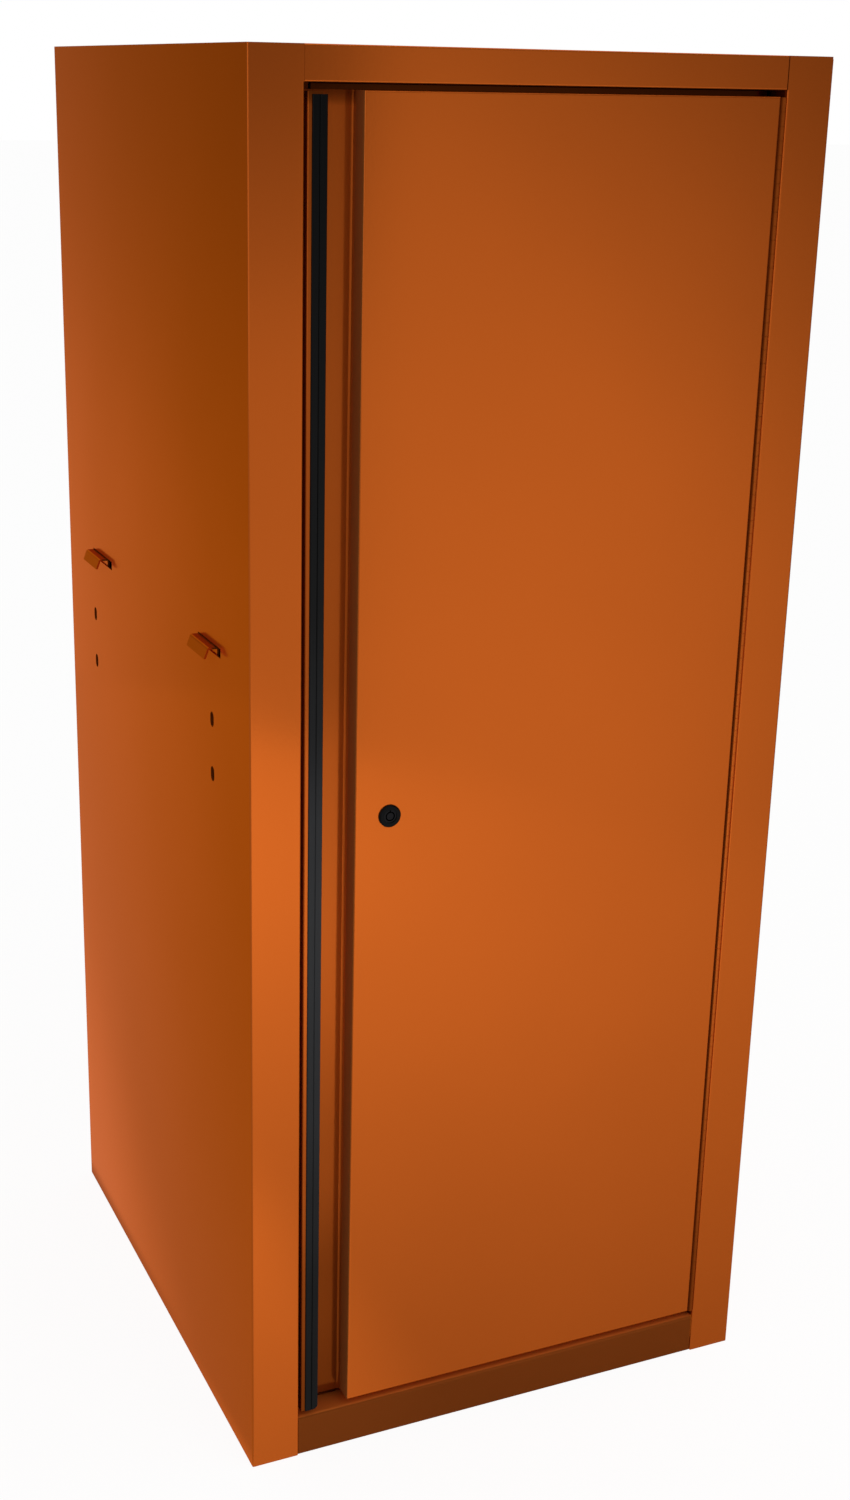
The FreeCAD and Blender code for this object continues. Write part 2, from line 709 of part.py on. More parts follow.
def make_top_panel():
    body = new_body("top_panel")
    shoulder = FRONT + WALL + s.seam_gap
    lip_rear = FRONT + s.top_lip_depth
    prism(body, "plate", "Z", TOP - WALL, TOP, polygon(
        (RAIL_LEFT, FRONT), (RAIL_RIGHT, FRONT), (RAIL_RIGHT, shoulder), (INNER_RIGHT, shoulder),
        (INNER_RIGHT, BACK_INNER), (INNER_LEFT, BACK_INNER), (INNER_LEFT, shoulder),
        (RAIL_LEFT, shoulder)))
    prism(body, "rail", "X", RAIL_LEFT, RAIL_RIGHT, polygon(
        (FRONT, TOP), (FRONT, RAIL_BOTTOM), (lip_rear, RAIL_BOTTOM),
        (lip_rear, RAIL_BOTTOM + s.top_lip_turn), (lip_rear - WALL, RAIL_BOTTOM + s.top_lip_turn),
        (lip_rear - WALL, RAIL_BOTTOM + WALL), (FRONT + WALL, RAIL_BOTTOM + WALL),
        (FRONT + WALL, TOP)))
    round_edges(body, "outer_bends", FOLD, X=[
        (FRONT, TOP), (FRONT, RAIL_BOTTOM), (lip_rear, RAIL_BOTTOM)])
    round_edges(body, "inner_bends", s.fold_inside, X=[
        (FRONT + WALL, RAIL_BOTTOM + WALL), (lip_rear - WALL, RAIL_BOTTOM + WALL)])
    flange = (TOP - s.top_flange, TOP)
    prism(body, "left_flange", "Z", *flange,
          rectangle(INNER_LEFT, INNER_LEFT + WALL, JAMB_REAR, CORNER_FRONT))
    prism(body, "right_flange", "Z", *flange,
          rectangle(INNER_RIGHT - WALL, INNER_RIGHT, JAMB_REAR, CORNER_FRONT))
    prism(body, "rear_flange", "Z", *flange,
          rectangle(FLANGE_LEFT, FLANGE_RIGHT, BACK_INNER - WALL, BACK_INNER))
    cut(body, "rod_keeper", "Z", RAIL_BOTTOM - OVERRUN, RAIL_BOTTOM + WALL + OVERRUN,
        rod_passage(UPPER_ROD_X))
    cut(body, "rivet_holes", "Y", BACK_INNER - WALL - OVERRUN, BACK_INNER + OVERRUN,
        *[circle(x, BACK_RIVET_TOP, RIVET_HOLE) for x in BACK_RIVET_CENTRES])


def make_bottom_rail():
    body = new_body("bottom_rail")
    face = FRONT + s.rail_setback
    rear = JAMB_REAR
    turn = SILL - s.sill_turn
    prism(body, "sheet", "X", RAIL_LEFT, RAIL_RIGHT, polygon(
        (face, ZERO), (face, SILL), (rear, SILL), (rear, turn), (rear - WALL, turn),
        (rear - WALL, SILL - WALL), (face + WALL, SILL - WALL), (face + WALL, WALL),
        (face + s.base_flange, WALL), (face + s.base_flange, ZERO)))
    round_edges(body, "nose", s.sill_nose, X=[(face, SILL)])
    round_edges(body, "nose_inside", s.sill_nose - WALL, X=[(face + WALL, SILL - WALL)])
    round_edges(body, "outer_bends", FOLD, X=[(face, ZERO), (rear, SILL)])
    round_edges(body, "inner_bends", s.fold_inside, X=[(face + WALL, WALL), (rear - WALL, SILL - WALL)])
    cut(body, "rod_keeper", "Z", SILL - WALL - OVERRUN, SILL + OVERRUN, rod_passage(LOWER_ROD_X))


def make_floor_panel():
    body = new_body("floor_panel")
    prism(body, "plate", "Z", SILL - WALL, SILL, polygon(
        (INNER_LEFT, FLOOR_FRONT), (INNER_RIGHT, FLOOR_FRONT), (INNER_RIGHT, CORNER_FRONT),
        (INNER_RIGHT - s.bend_inside, FLANGE_FRONT),
        (FLANGE_RIGHT, FLANGE_FRONT), (FLANGE_RIGHT, BACK_INNER), (FLANGE_LEFT, BACK_INNER),
        (FLANGE_LEFT, FLANGE_FRONT), (INNER_LEFT + s.bend_inside, FLANGE_FRONT),
        (INNER_LEFT, CORNER_FRONT)))
    side_flange = (SILL - s.floor_flange, SILL)
    prism(body, "left_flange", "Z", *side_flange,
          rectangle(INNER_LEFT, INNER_LEFT + WALL, FLOOR_FRONT, CORNER_FRONT))
    prism(body, "right_flange", "Z", *side_flange,
          rectangle(INNER_RIGHT - WALL, INNER_RIGHT, FLOOR_FRONT, CORNER_FRONT))
    prism(body, "front_flange", "Z", SILL - s.sill_turn, SILL,
          rectangle(INNER_LEFT, INNER_RIGHT, FLOOR_FRONT, FLOOR_FRONT + WALL))
    prism(body, "rear_flange", "Z", ZERO, SILL,
          rectangle(FLANGE_LEFT, FLANGE_RIGHT, BACK_INNER - WALL, BACK_INNER))
    cut(body, "rivet_holes", "Y", BACK_INNER - WALL - OVERRUN, BACK_INNER + OVERRUN,
        *[circle(x, BACK_RIVET_BOTTOM, RIVET_HOLE) for x in BACK_RIVET_CENTRES])


def make_back_panel():
    body = new_body("back_panel")
    prism(body, "sheet", "Y", BACK_INNER, BACK_FACE,
          rectangle(LEFT + s.seam_gap, RIGHT - s.seam_gap, ZERO, TOP))
    cut(body, "side_holes", "Y", BACK_INNER - OVERRUN, BACK_FACE + OVERRUN,
        *rear_flange_holes(BACK_RIVET_LEFT), *rear_flange_holes(BACK_RIVET_RIGHT))
    cut(body, "end_holes", "Y", BACK_INNER - OVERRUN, BACK_FACE + OVERRUN,
        *[circle(x, z, RIVET_HOLE) for x in BACK_RIVET_CENTRES
          for z in (BACK_RIVET_TOP, BACK_RIVET_BOTTOM)])


def make_back_panel_rivets():
    places = [(x, BACK_FACE, z) for x in (BACK_RIVET_LEFT, BACK_RIVET_RIGHT) for z in BACK_RIVET_HEIGHTS]
    places += [(x, BACK_FACE, z) for x in BACK_RIVET_CENTRES for z in (BACK_RIVET_TOP, BACK_RIVET_BOTTOM)]
    rivet_row("back_panel_rivets", (0, 1, 0), places, s.back_wall + WALL)


def make_base_stiffener(side, centre):
    body = new_body(f"base_stiffener_{side}")
    low, high = centre - s.stiffener_width / 2, centre + s.stiffener_width / 2
    wall = s.stiffener_wall
    roof = SILL - WALL
    prism(body, "channel", "Y", FLOOR_FRONT + WALL + s.seam_gap, FLANGE_FRONT, polygon(
        (low, ZERO), (high, ZERO), (high, roof), (high - wall, roof), (high - wall, wall),
        (low + wall, wall), (low + wall, roof), (low, roof)))
    round_edges(body, "bends", FOLD, Y=[(low, ZERO), (high, ZERO)])


def make_hook_bracket(end, hook_front, slot):
    """A strap behind the side wall whose top bends out through the window and down as a hook."""
    body = new_body(f"hook_bracket_{end}")
    seat = LEFT + WALL
    hook_rear = hook_front + s.hook_length
    prism(body, "plate", "X", seat, seat + s.hook_wall, rectangle(
        hook_front - s.bracket_margin, hook_rear + s.bracket_margin,
        s.bracket_bottom, s.bracket_shoulder))
    crown = WINDOW_TOP - s.hook_head_gap
    tip_x = LEFT - s.hook_reach - s.hook_flare
    tip_z = crown - s.hook_drop
    inner_shift = s.hook_flare * s.hook_wall / s.hook_drop
    prism(body, "hook", "Y", hook_front, hook_rear, polygon(
        (seat, s.bracket_bottom), (seat + s.hook_wall, s.bracket_bottom), (seat + s.hook_wall, crown),
        (LEFT - s.hook_reach, crown), (tip_x, tip_z), (tip_x + s.hook_wall, tip_z),
        (LEFT - s.hook_reach - inner_shift + s.hook_wall, crown - s.hook_wall),
        (seat, crown - s.hook_wall)))
    round_edges(body, "hook_bends", s.hook_bend, Y=[
        (seat + s.hook_wall, crown), (LEFT - s.hook_reach, crown)])
    cut(body, "bolt_slots", "X", seat - OVERRUN, seat + s.hook_wall + OVERRUN, *[
        obround(slot, height, s.bolt_slot_width, s.bolt_slot_length, True)
        for height in BOLT_SLOT_HEIGHTS])


# ---------------------------------------------------------------- shelves

def make_shelf_standard(end, side):
    """A slotted channel on a side wall, its legs against the wall."""
    body = new_body(f"shelf_standard_{end}_{side}")
    low = STANDARD_FRONT if end == "front" else STANDARD_REAR
    high = low + s.standard_width
    if side == "left":
        seat, face, wall = LEFT + WALL, STANDARD_FACE_LEFT, WALL
        cut_low, cut_high = face - WALL - OVERRUN, face + OVERRUN
    else:
        seat, face, wall = RIGHT - WALL, STANDARD_FACE_RIGHT, -WALL
        cut_low, cut_high = face - OVERRUN, face + WALL + OVERRUN
    prism(body, "channel", "Z", SILL, STANDARD_TOP, polygon(
        (seat, low), (face, low), (face, high), (seat, high), (seat, high - WALL),
        (face - wall, high - WALL), (face - wall, low + WALL), (seat, low + WALL)))
    middle = (low + high) / 2
    slot_low = SILL + s.slot_start
    slot = cut(body, "slot", "X", cut_low, cut_high, rectangle(
        middle - s.slot_width / 2, middle + s.slot_width / 2, slot_low, slot_low + s.slot_height))
    room = STANDARD_TOP.value - slot_low.value - s.slot_height.value
    repeat(body, slot, "Z", s.slot_pitch, math.floor(room / s.slot_pitch.value))


def ledge_height(level):
    """The top of the clips' ledges, which carries the shelf's flanges."""
    slot = SILL + s.slot_start + s.slot_pitch * SHELF_SLOTS[level]
    return slot + s.slot_height - s.clip_clearance + s.clip_wall


def make_shelf(level):
    body = new_body(f"shelf_{level}")
    low = ledge_height(level)
    high = low + s.shelf_flange
    x_low, x_high = STANDARD_FACE_LEFT + s.shelf_gap, STANDARD_FACE_RIGHT - s.shelf_gap
    y_low, y_high = JAMB_REAR + s.shelf_front, BACK_INNER - s.shelf_rear
    prism(body, "pan", "Z", low, high, rectangle(x_low, x_high, y_low, y_high))
    round_edges(body, "top_bends", FOLD, X=[(y_low, high), (y_high, high)],
                Y=[(x_low, high), (x_high, high)])
    cut(body, "hollow", "Z", low - OVERRUN, high - WALL,
        rectangle(x_low + WALL, x_high - WALL, y_low + WALL, y_high - WALL))


def make_shelf_clips(level):
    clips = []
    ledge = ledge_height(level)
    tongue_low = ledge - s.clip_wall - s.slot_height + 2 * s.clip_clearance
    half_tongue = s.slot_width / 2 - s.clip_clearance
    for side, face, way in (("left", STANDARD_FACE_LEFT, 1), ("right", STANDARD_FACE_RIGHT, -1)):
        for end, start in (("front", STANDARD_FRONT), ("rear", STANDARD_REAR)):
            middle = start + s.standard_width / 2
            across = (middle - s.clip_width / 2, middle + s.clip_width / 2)
            name = f"clip_{level}_{side}_{end}"
            spans = {
                "plate": (face, face + s.clip_wall * way, *across, ledge - s.clip_height, ledge),
                "ledge": (face, face + s.clip_ledge * way, *across, ledge - s.clip_wall, ledge),
                "tongue": (face - s.clip_tongue * way, face + s.clip_wall * way,
                           middle - half_tongue, middle + half_tongue, tongue_low, ledge - s.clip_wall),
            }
            pieces = []
            for part, (x_a, x_b, *rest) in spans.items():
                x_low, x_high = (x_a, x_b) if way > 0 else (x_b, x_a)
                pieces.append(block(f"{name}_{part}", x_low, x_high, *rest))
            clip = DOC.addObject("Part::MultiFuse", name)
            clip.Shapes = pieces
            clip.Refine = True
            clips.append(clip)
    group(f"shelf_clips_{level}", clips)


# ---------------------------------------------------------------- piano hinge

def make_hinge_leaf(label, way, first_notch, notch_count, rivet_heights):
    """A leaf whose plate lies back from the barrel: way is +1 on the jamb, -1 on the door."""
    body = new_body(label)
    radius = s.hinge_barrel / 2
    outer = PIVOT_X + radius * way
    inner = outer - s.leaf_wall * way
    low_x, high_x = (inner, outer) if way > 0 else (outer, inner)
    reach = PIVOT_Y + s.leaf_width
    prism(body, "plate", "Z", HINGE_BOTTOM, HINGE_TOP, rectangle(low_x, high_x, PIVOT_Y, reach))
    prism(body, "barrel", "Z", HINGE_BOTTOM, HINGE_TOP, circle(PIVOT_X, PIVOT_Y, radius))
    cut(body, "bore", "Z", HINGE_BOTTOM - OVERRUN, HINGE_TOP + OVERRUN,
        circle(PIVOT_X, PIVOT_Y, s.hinge_pin / 2 + s.hinge_play))
    clear = radius + s.knuckle_gap
    low = HINGE_BOTTOM + s.knuckle_length * first_notch - s.knuckle_gap / 2
    notch = cut(body, "notch", "Y", PIVOT_Y - clear, PIVOT_Y + clear, rectangle(
        PIVOT_X - clear, PIVOT_X + clear, low, low + s.knuckle_length + s.knuckle_gap))
    repeat(body, notch, "Z", 2 * s.knuckle_length, notch_count)
    cut(body, "rivet_holes", "X", low_x - OVERRUN, high_x + OVERRUN,
        *[circle(HINGE_RIVET_Y, height, RIVET_HOLE) for height in rivet_heights])


def make_hinge():
    make_hinge_leaf("hinge_frame_leaf", 1, 1, KNUCKLES // 2, FRAME_RIVET_HEIGHTS)
    make_hinge_leaf("hinge_door_leaf", -1, 0, (KNUCKLES + 1) // 2, DOOR_RIVET_HEIGHTS)
    body = new_body("hinge_pin")
    prism(body, "wire", "Z", HINGE_BOTTOM, HINGE_TOP, circle(PIVOT_X, PIVOT_Y, s.hinge_pin / 2))
    grip = s.leaf_wall + WALL
    frame_seat = JAMB_RIGHT - s.leaf_wall
    door_seat = DOOR_RIGHT + s.leaf_wall
    rivet_row("hinge_frame_rivets", (-1, 0, 0),
              [(frame_seat, HINGE_RIVET_Y, height) for height in FRAME_RIVET_HEIGHTS], grip)
    rivet_row("hinge_door_rivets", (1, 0, 0),
              [(door_seat, HINGE_RIVET_Y, height) for height in DOOR_RIVET_HEIGHTS], grip)


# ---------------------------------------------------------------- door

def make_door_skin():
    body = new_body("door_skin")
    inner_wall = RECESS_WALL + WALL
    foot_end = DOOR_LEFT + WALL + s.seam_gap
    flange_end = DOOR_RIGHT - s.door_flange
    inner_right = DOOR_RIGHT - WALL
    prism(body, "sheet", "Z", DOOR_BOTTOM, DOOR_TOP, polygon(
        (foot_end, RECESS_FLOOR - WALL), (RECESS_WALL, RECESS_FLOOR - WALL), (RECESS_WALL, DOOR_FACE),
        (DOOR_RIGHT, DOOR_FACE), (DOOR_RIGHT, CHANNEL_REAR), (flange_end, CHANNEL_REAR),
        (flange_end, RECESS_FLOOR), (inner_right, RECESS_FLOOR), (inner_right, DOOR_FACE + WALL),
        (inner_wall, DOOR_FACE + WALL), (inner_wall, RECESS_FLOOR), (foot_end, RECESS_FLOOR)))
    end = rectangle(RECESS_WALL, DOOR_RIGHT, DOOR_FACE, CHANNEL_REAR)
    prism(body, "top_return", "Z", DOOR_TOP - WALL, DOOR_TOP, end)
    prism(body, "bottom_return", "Z", DOOR_BOTTOM, DOOR_BOTTOM + WALL, end)
    round_edges(body, "outer_bends", FOLD,
                Z=[(RECESS_WALL, DOOR_FACE), (DOOR_RIGHT, DOOR_FACE), (DOOR_RIGHT, CHANNEL_REAR)],
                X=[(DOOR_FACE, DOOR_TOP), (DOOR_FACE, DOOR_BOTTOM)])
    round_edges(body, "inner_bends", s.fold_inside,
                Z=[(inner_right, RECESS_FLOOR), (inner_right, DOOR_FACE + WALL),
                   (inner_wall, DOOR_FACE + WALL)])
    round_edges(body, "recess_bend", s.recess_bend, Z=[(RECESS_WALL, RECESS_FLOOR - WALL)])
    cut(body, "lock_hole", "Y", DOOR_FACE - OVERRUN, DOOR_FACE + WALL + OVERRUN,
        circle(LOCK_X, LOCK_Z, s.lock_thread_radius + s.lock_hole_gap))
    cut(body, "upper_rod_slot", "Z", DOOR_TOP - WALL - OVERRUN, DOOR_TOP + OVERRUN,
        rod_passage(UPPER_ROD_X))
    cut(body, "lower_rod_slot", "Z", DOOR_BOTTOM - OVERRUN, DOOR_BOTTOM + WALL + OVERRUN,
        rod_passage(LOWER_ROD_X))
    cut(body, "hinge_holes", "X", inner_right - OVERRUN, DOOR_RIGHT + OVERRUN,
        *[circle(HINGE_RIVET_Y, height, RIVET_HOLE) for height in DOOR_RIVET_HEIGHTS])


def make_door_recess_channel():
    body = new_body("door_recess_channel")
    lip_end = DOOR_LEFT + s.lip_width
    inner = DOOR_LEFT + WALL
    prism(body, "sheet", "Z", DOOR_BOTTOM, DOOR_TOP - s.channel_top_gap, polygon(
        (lip_end, DOOR_FACE), (DOOR_LEFT, DOOR_FACE), (DOOR_LEFT, CHANNEL_REAR),
        (RECESS_WALL, CHANNEL_REAR), (RECESS_WALL, RECESS_FLOOR), (inner, RECESS_FLOOR),
        (inner, DOOR_FACE + WALL), (lip_end, DOOR_FACE + WALL)))
    round_edges(body, "outer_bends", FOLD,
                Z=[(DOOR_LEFT, DOOR_FACE), (DOOR_LEFT, CHANNEL_REAR)])
    round_edges(body, "inner_bends", s.fold_inside,
                Z=[(inner, DOOR_FACE + WALL), (inner, RECESS_FLOOR)])


def make_door_edge_trim():
    """A U-shaped extrusion clipped over the lip, with two soft lobes along its front."""
    body = new_body("door_edge_trim")
    lip_end = DOOR_LEFT + s.lip_width
    face = DOOR_FACE - s.trim_proud
    lip_back = DOOR_FACE + WALL
    rear = lip_back + s.trim_back
    middle = TRIM_LEFT + s.trim_width / 2
    low, high = DOOR_BOTTOM, DOOR_TOP - s.trim_top_gap
    prism(body, "profile", "Z", low, high, polygon(
        (TRIM_LEFT, DOOR_FACE), (TRIM_LEFT, face), (middle - s.trim_groove, face),
        (middle, face + s.trim_groove), (middle + s.trim_groove, face), (TRIM_RIGHT, face),
        (TRIM_RIGHT, rear), (TRIM_LEFT + s.trim_tail, rear), (TRIM_LEFT + s.trim_tail, lip_back),
        (lip_end, lip_back), (lip_end, DOOR_FACE)))
    round_edges(body, "lobes", s.trim_round, Z=[(TRIM_LEFT, face), (TRIM_RIGHT, face)])
    cut(body, "foot_round", "Y", face - OVERRUN, rear + OVERRUN,
        corner_round(TRIM_RIGHT, low, s.trim_end_radius))


def make_door_inner_panel():
    """The flat liner behind the door; its upper edge stands above the door and closes the gap there."""
    body = new_body("door_inner_panel")
    left = JAMB_LEFT + s.stop_width + s.liner_side_gap
    prism(body, "sheet", "Y", CHANNEL_REAR, DOOR_REAR,
          rectangle(left, DOOR_RIGHT, DOOR_BOTTOM, RAIL_BOTTOM - s.liner_top_gap))


def make_door_stiffener():
    body = new_body("door_stiffener")
    low = LEFT + s.hat_centre - s.hat_width / 2
    high = low + s.hat_width
    web = DOOR_FACE + WALL
    prism(body, "channel", "Z", DOOR_BOTTOM + s.hat_end_gap, DOOR_TOP - s.hat_end_gap, polygon(
        (low, web), (high, web), (high, CHANNEL_REAR), (high - WALL, CHANNEL_REAR),
        (high - WALL, web + WALL), (low + WALL, web + WALL), (low + WALL, CHANNEL_REAR),
        (low, CHANNEL_REAR)))


def make_door_stops():
    """Rubber bumpers and magnets on the stop flange, behind the door's closing edge."""
    centre = JAMB_LEFT + s.bumper_inset
    for label, inset in (("door_bumpers", s.bumper_end), ("door_magnets", s.magnet_end)):
        discs = []
        for end, height in (("lower", DOOR_BOTTOM + inset), ("upper", DOOR_TOP - inset)):
            disc = DOC.addObject("Part::Cylinder", f"{label}_{end}")
            disc.Placement = FreeCAD.Placement(FreeCAD.Vector(), FreeCAD.Rotation(FreeCAD.Vector(1, 0, 0), 90))
            disc.setExpression("Radius", s.bumper_radius.text)
            disc.setExpression("Height", s.bumper_height.text)
            place_body(disc, centre, STOP_FACE, height)
            discs.append(disc)
        group(label, discs)


# ---------------------------------------------------------------- lock and rods

def make_lock_housing():
    body = new_body("lock_housing")
    bore = s.plug_radius + s.plug_play
    chamfer = s.lock_face_round
    turned(body, "barrel", (bore, -s.lock_face_height), (s.lock_face_radius - chamfer, -s.lock_face_height),
           (s.lock_face_radius, chamfer - s.lock_face_height), (s.lock_face_radius, ZERO),
           (s.lock_thread_radius, ZERO), (s.lock_thread_radius, s.lock_body_length),
           (bore, s.lock_body_length))
    place_body(body, LOCK_X, DOOR_FACE, LOCK_Z)


def make_lock_nut():
    body = new_body("lock_nut")
    half = s.nut_across_flats / 2
    corner = half * (2 / math.sqrt(3))
    prism(body, "hexagon", "Y", WALL, WALL + s.nut_height,
          polygon((corner, ZERO), (corner / 2, half), (-corner / 2, half), (-corner, ZERO),
                  (-corner / 2, -half), (corner / 2, -half)),
          circle(ZERO, ZERO, s.lock_thread_radius + s.lock_hole_gap))
    place_body(body, LOCK_X, DOOR_FACE, LOCK_Z)


def make_lock_plug():
    """The turning core: a ring groove for a tubular key in front, a square tail behind."""
    body = new_body("lock_plug")
    face = s.plug_recess - s.lock_face_height
    groove_floor = face + s.key_groove_depth
    turned(body, "core", (ZERO, face), (s.key_groove_inner, face), (s.key_groove_inner, groove_floor),
           (s.key_groove_outer, groove_floor), (s.key_groove_outer, face), (s.plug_radius, face),
           (s.plug_radius, s.lock_body_length), (ZERO, s.lock_body_length))
    half = s.cam_square / 2
    prism(body, "tail", "Y", s.lock_body_length, CAM_REAR, rectangle(-half, half, -half, half))
    half_notch = s.key_notch_width / 2
    cut(body, "key_notch", "Y", face, groove_floor,
        rectangle(-half_notch, half_notch, s.key_groove_inner, s.plug_radius + OVERRUN))
    cut(body, "screw_hole", "Y", CAM_REAR - s.screw_length, CAM_REAR + OVERRUN,
        circle(ZERO, ZERO, s.screw_radius + s.plug_play))
    place_body(body, LOCK_X, DOOR_FACE, LOCK_Z)


def make_lock_cam():
    """A two-eared lever with a pin on each ear, which drives the rods."""
    body = new_body("lock_cam")
    throw = s.cam_throw
    side = s.cam_ear_radius * math.sqrt(0.5)
    prism(body, "lever", "Y", CAM_FRONT, CAM_REAR, polygon(
        (-throw - side, side - throw), (side - throw, -throw - side),
        (throw + side, throw - side), (throw - side, throw + side)))
    prism(body, "ears", "Y", CAM_FRONT, CAM_REAR,
          circle(-throw, -throw, s.cam_ear_radius), circle(throw, throw, s.cam_ear_radius))
    prism(body, "hub", "Y", CAM_FRONT, CAM_REAR, circle(ZERO, ZERO, s.cam_hub_radius))
    pin_rear = SCREW_REAR + s.rod_gap + s.rod_wall + s.rod_gap
    prism(body, "pins", "Y", CAM_FRONT, pin_rear,
          circle(-throw, -throw, s.pin_radius), circle(throw, throw, s.pin_radius))
    half = s.cam_square / 2 + s.plug_play
    cut(body, "square", "Y", CAM_FRONT - OVERRUN, CAM_REAR + OVERRUN, rectangle(-half, half, -half, half))
    place_body(body, LOCK_X, DOOR_FACE, LOCK_Z)


def make_cam_screw():
    body = new_body("cam_screw")
    turned(body, "screw", (ZERO, CAM_REAR - s.screw_length), (s.screw_radius, CAM_REAR - s.screw_length),
           (s.screw_radius, CAM_REAR), (s.screw_head_radius, CAM_REAR),
           (s.screw_head_radius, SCREW_REAR), (ZERO, SCREW_REAR))
    half_slot = s.screw_slot_width / 2
    cut(body, "driver_slot", "Y", SCREW_REAR - s.screw_head_height / 2, SCREW_REAR + OVERRUN,
        rectangle(-s.screw_head_radius - OVERRUN, s.screw_head_radius + OVERRUN, -half_slot, half_slot))
    place_body(body, LOCK_X, DOOR_FACE, LOCK_Z)


def make_lock_rod(level, rod_x, way):
    """A flat rod with a slot for the cam's pin at one end: way is +1 for the rod that goes up."""
    body = new_body(f"lock_rod_{level}")
    pin_z = LOCK_Z - s.cam_throw * way
    foot = pin_z - s.rod_foot * way
    tip = (DOOR_TOP - s.rod_end_gap) if way > 0 else (DOOR_BOTTOM + s.rod_end_gap)
    low, high = (foot, tip) if way > 0 else (tip, foot)
    half = s.rod_width / 2
    bevel = s.rod_tip_chamfer
    prism(body, "bar", "Y", ROD_FRONT, ROD_REAR, polygon(
        (rod_x - half, foot), (rod_x + half, foot), (rod_x + half, tip - bevel * way),
        (rod_x + half - bevel, tip), (rod_x - half + bevel, tip), (rod_x - half, tip - bevel * way)))
    cut(body, "pin_slot", "Y", ROD_FRONT - OVERRUN, ROD_REAR + OVERRUN,
        obround(rod_x, pin_z, s.rod_slot_height, s.rod_slot_length, False))


def make_rod_guide(level, rod_x, way):
    """A moulded block on the inner panel that the rod slides through."""
    body = new_body(f"rod_guide_{level}")
    half_rod = s.rod_width / 2 + s.guide_gap
    half = half_rod + s.guide_wall
    end = (DOOR_TOP - WALL - s.guide_distance) if way > 0 else (DOOR_BOTTOM + WALL + s.guide_distance)
    other = end - s.guide_height * way
    low, high = (other, end) if way > 0 else (end, other)
    prism(body, "block", "Z", low, high,
          rectangle(rod_x - half, rod_x + half, ROD_FRONT - s.guide_gap - s.guide_wall / 2, CHANNEL_REAR),
          rectangle(rod_x - half_rod, rod_x + half_rod, ROD_FRONT - s.guide_gap, ROD_REAR + s.guide_gap))


# ---------------------------------------------------------------- build, check and write

def build():
    make_left_side_panel()
    make_right_side_panel()
    make_top_panel()
    make_bottom_rail()
    make_floor_panel()
    make_back_panel()
    make_back_panel_rivets()
    for side, centre in (("left", -s.stiffener_spacing), ("center", ZERO), ("right", s.stiffener_spacing)):
        make_base_stiffener(side, centre)
    make_hook_bracket("front", FRONT + s.window_front + s.hook_inset, FRONT + s.bolt_slot_front)
    make_hook_bracket("rear", FRONT + s.window_rear + s.hook_rear_inset, FRONT + s.bolt_slot_rear)
    for end in ("front", "rear"):
        for side in ("left", "right"):
            make_shelf_standard(end, side)
    for level in SHELF_SLOTS:
        make_shelf(level)
        make_shelf_clips(level)
    make_hinge()
    make_door_skin()
    make_door_recess_channel()
    make_door_edge_trim()
    make_door_inner_panel()
    make_door_stiffener()
    make_door_stops()
    make_lock_housing()
    make_lock_nut()
    make_lock_plug()
    make_lock_cam()
    make_cam_screw()
    for level, rod_x, way in (("upper", UPPER_ROD_X, 1), ("lower", LOWER_ROD_X, -1)):
        make_lock_rod(level, rod_x, way)
        make_rod_guide(level, rod_x, way)
    DOC.recompute()


def check():
    """Stop if a feature failed, a shape is bad or a cut took nothing away."""
    for item in DOC.Objects:
        if "Invalid" in item.State or "Error" in item.State:
            raise RuntimeError(f"{item.Name}: {item.State}")
    for part in PARTS:
        if part.Shape.isNull() or not part.Shape.isValid():
            raise RuntimeError(f"{part.Label}: bad shape")
    for pocket, before in CUTS:
        if pocket.Shape.Volume >= before.Shape.Volume - TOUCH:
            raise RuntimeError(f"{pocket.Name} cuts nothing")


def write():
    os.makedirs("parts", exist_ok=True)
    for part in PARTS:
        part.Shape.exportStep(f"parts/{part.Label}.step")


build()
check()
write()
print(len(PARTS), "sub-parts written")
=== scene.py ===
import json
import math

import bpy
from mathutils import Matrix, Vector


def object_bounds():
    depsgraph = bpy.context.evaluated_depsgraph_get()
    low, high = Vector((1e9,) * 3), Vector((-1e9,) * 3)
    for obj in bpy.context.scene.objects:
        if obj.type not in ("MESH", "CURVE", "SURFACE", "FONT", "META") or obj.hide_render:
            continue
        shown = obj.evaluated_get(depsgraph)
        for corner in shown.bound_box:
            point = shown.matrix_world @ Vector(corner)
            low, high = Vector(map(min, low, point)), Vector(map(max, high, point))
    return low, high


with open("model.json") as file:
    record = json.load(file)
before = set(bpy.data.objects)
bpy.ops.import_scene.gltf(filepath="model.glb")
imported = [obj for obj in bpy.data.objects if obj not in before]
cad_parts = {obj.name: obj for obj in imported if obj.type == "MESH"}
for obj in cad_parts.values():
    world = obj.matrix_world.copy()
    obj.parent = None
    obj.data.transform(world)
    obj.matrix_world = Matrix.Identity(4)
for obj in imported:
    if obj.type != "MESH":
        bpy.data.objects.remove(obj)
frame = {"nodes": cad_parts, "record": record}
NODES = frame["nodes"]
cad_low, cad_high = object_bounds()
HEIGHT = cad_high[2]

# ---------------------------------------------------------------- camera

IMAGE_WIDTH, IMAGE_HEIGHT = 850, 1500
FOCAL_PX = 1965.82
CENTRE_PX = (386.82, 728.48)
CAMERA_AT = Vector((-0.85021, -1.89786, 1.35855))
CAMERA_AZIMUTH, CAMERA_TILT, CAMERA_ROLL = 23.7862, -18.3093, 1.07933
SENSOR_MM = 36.0


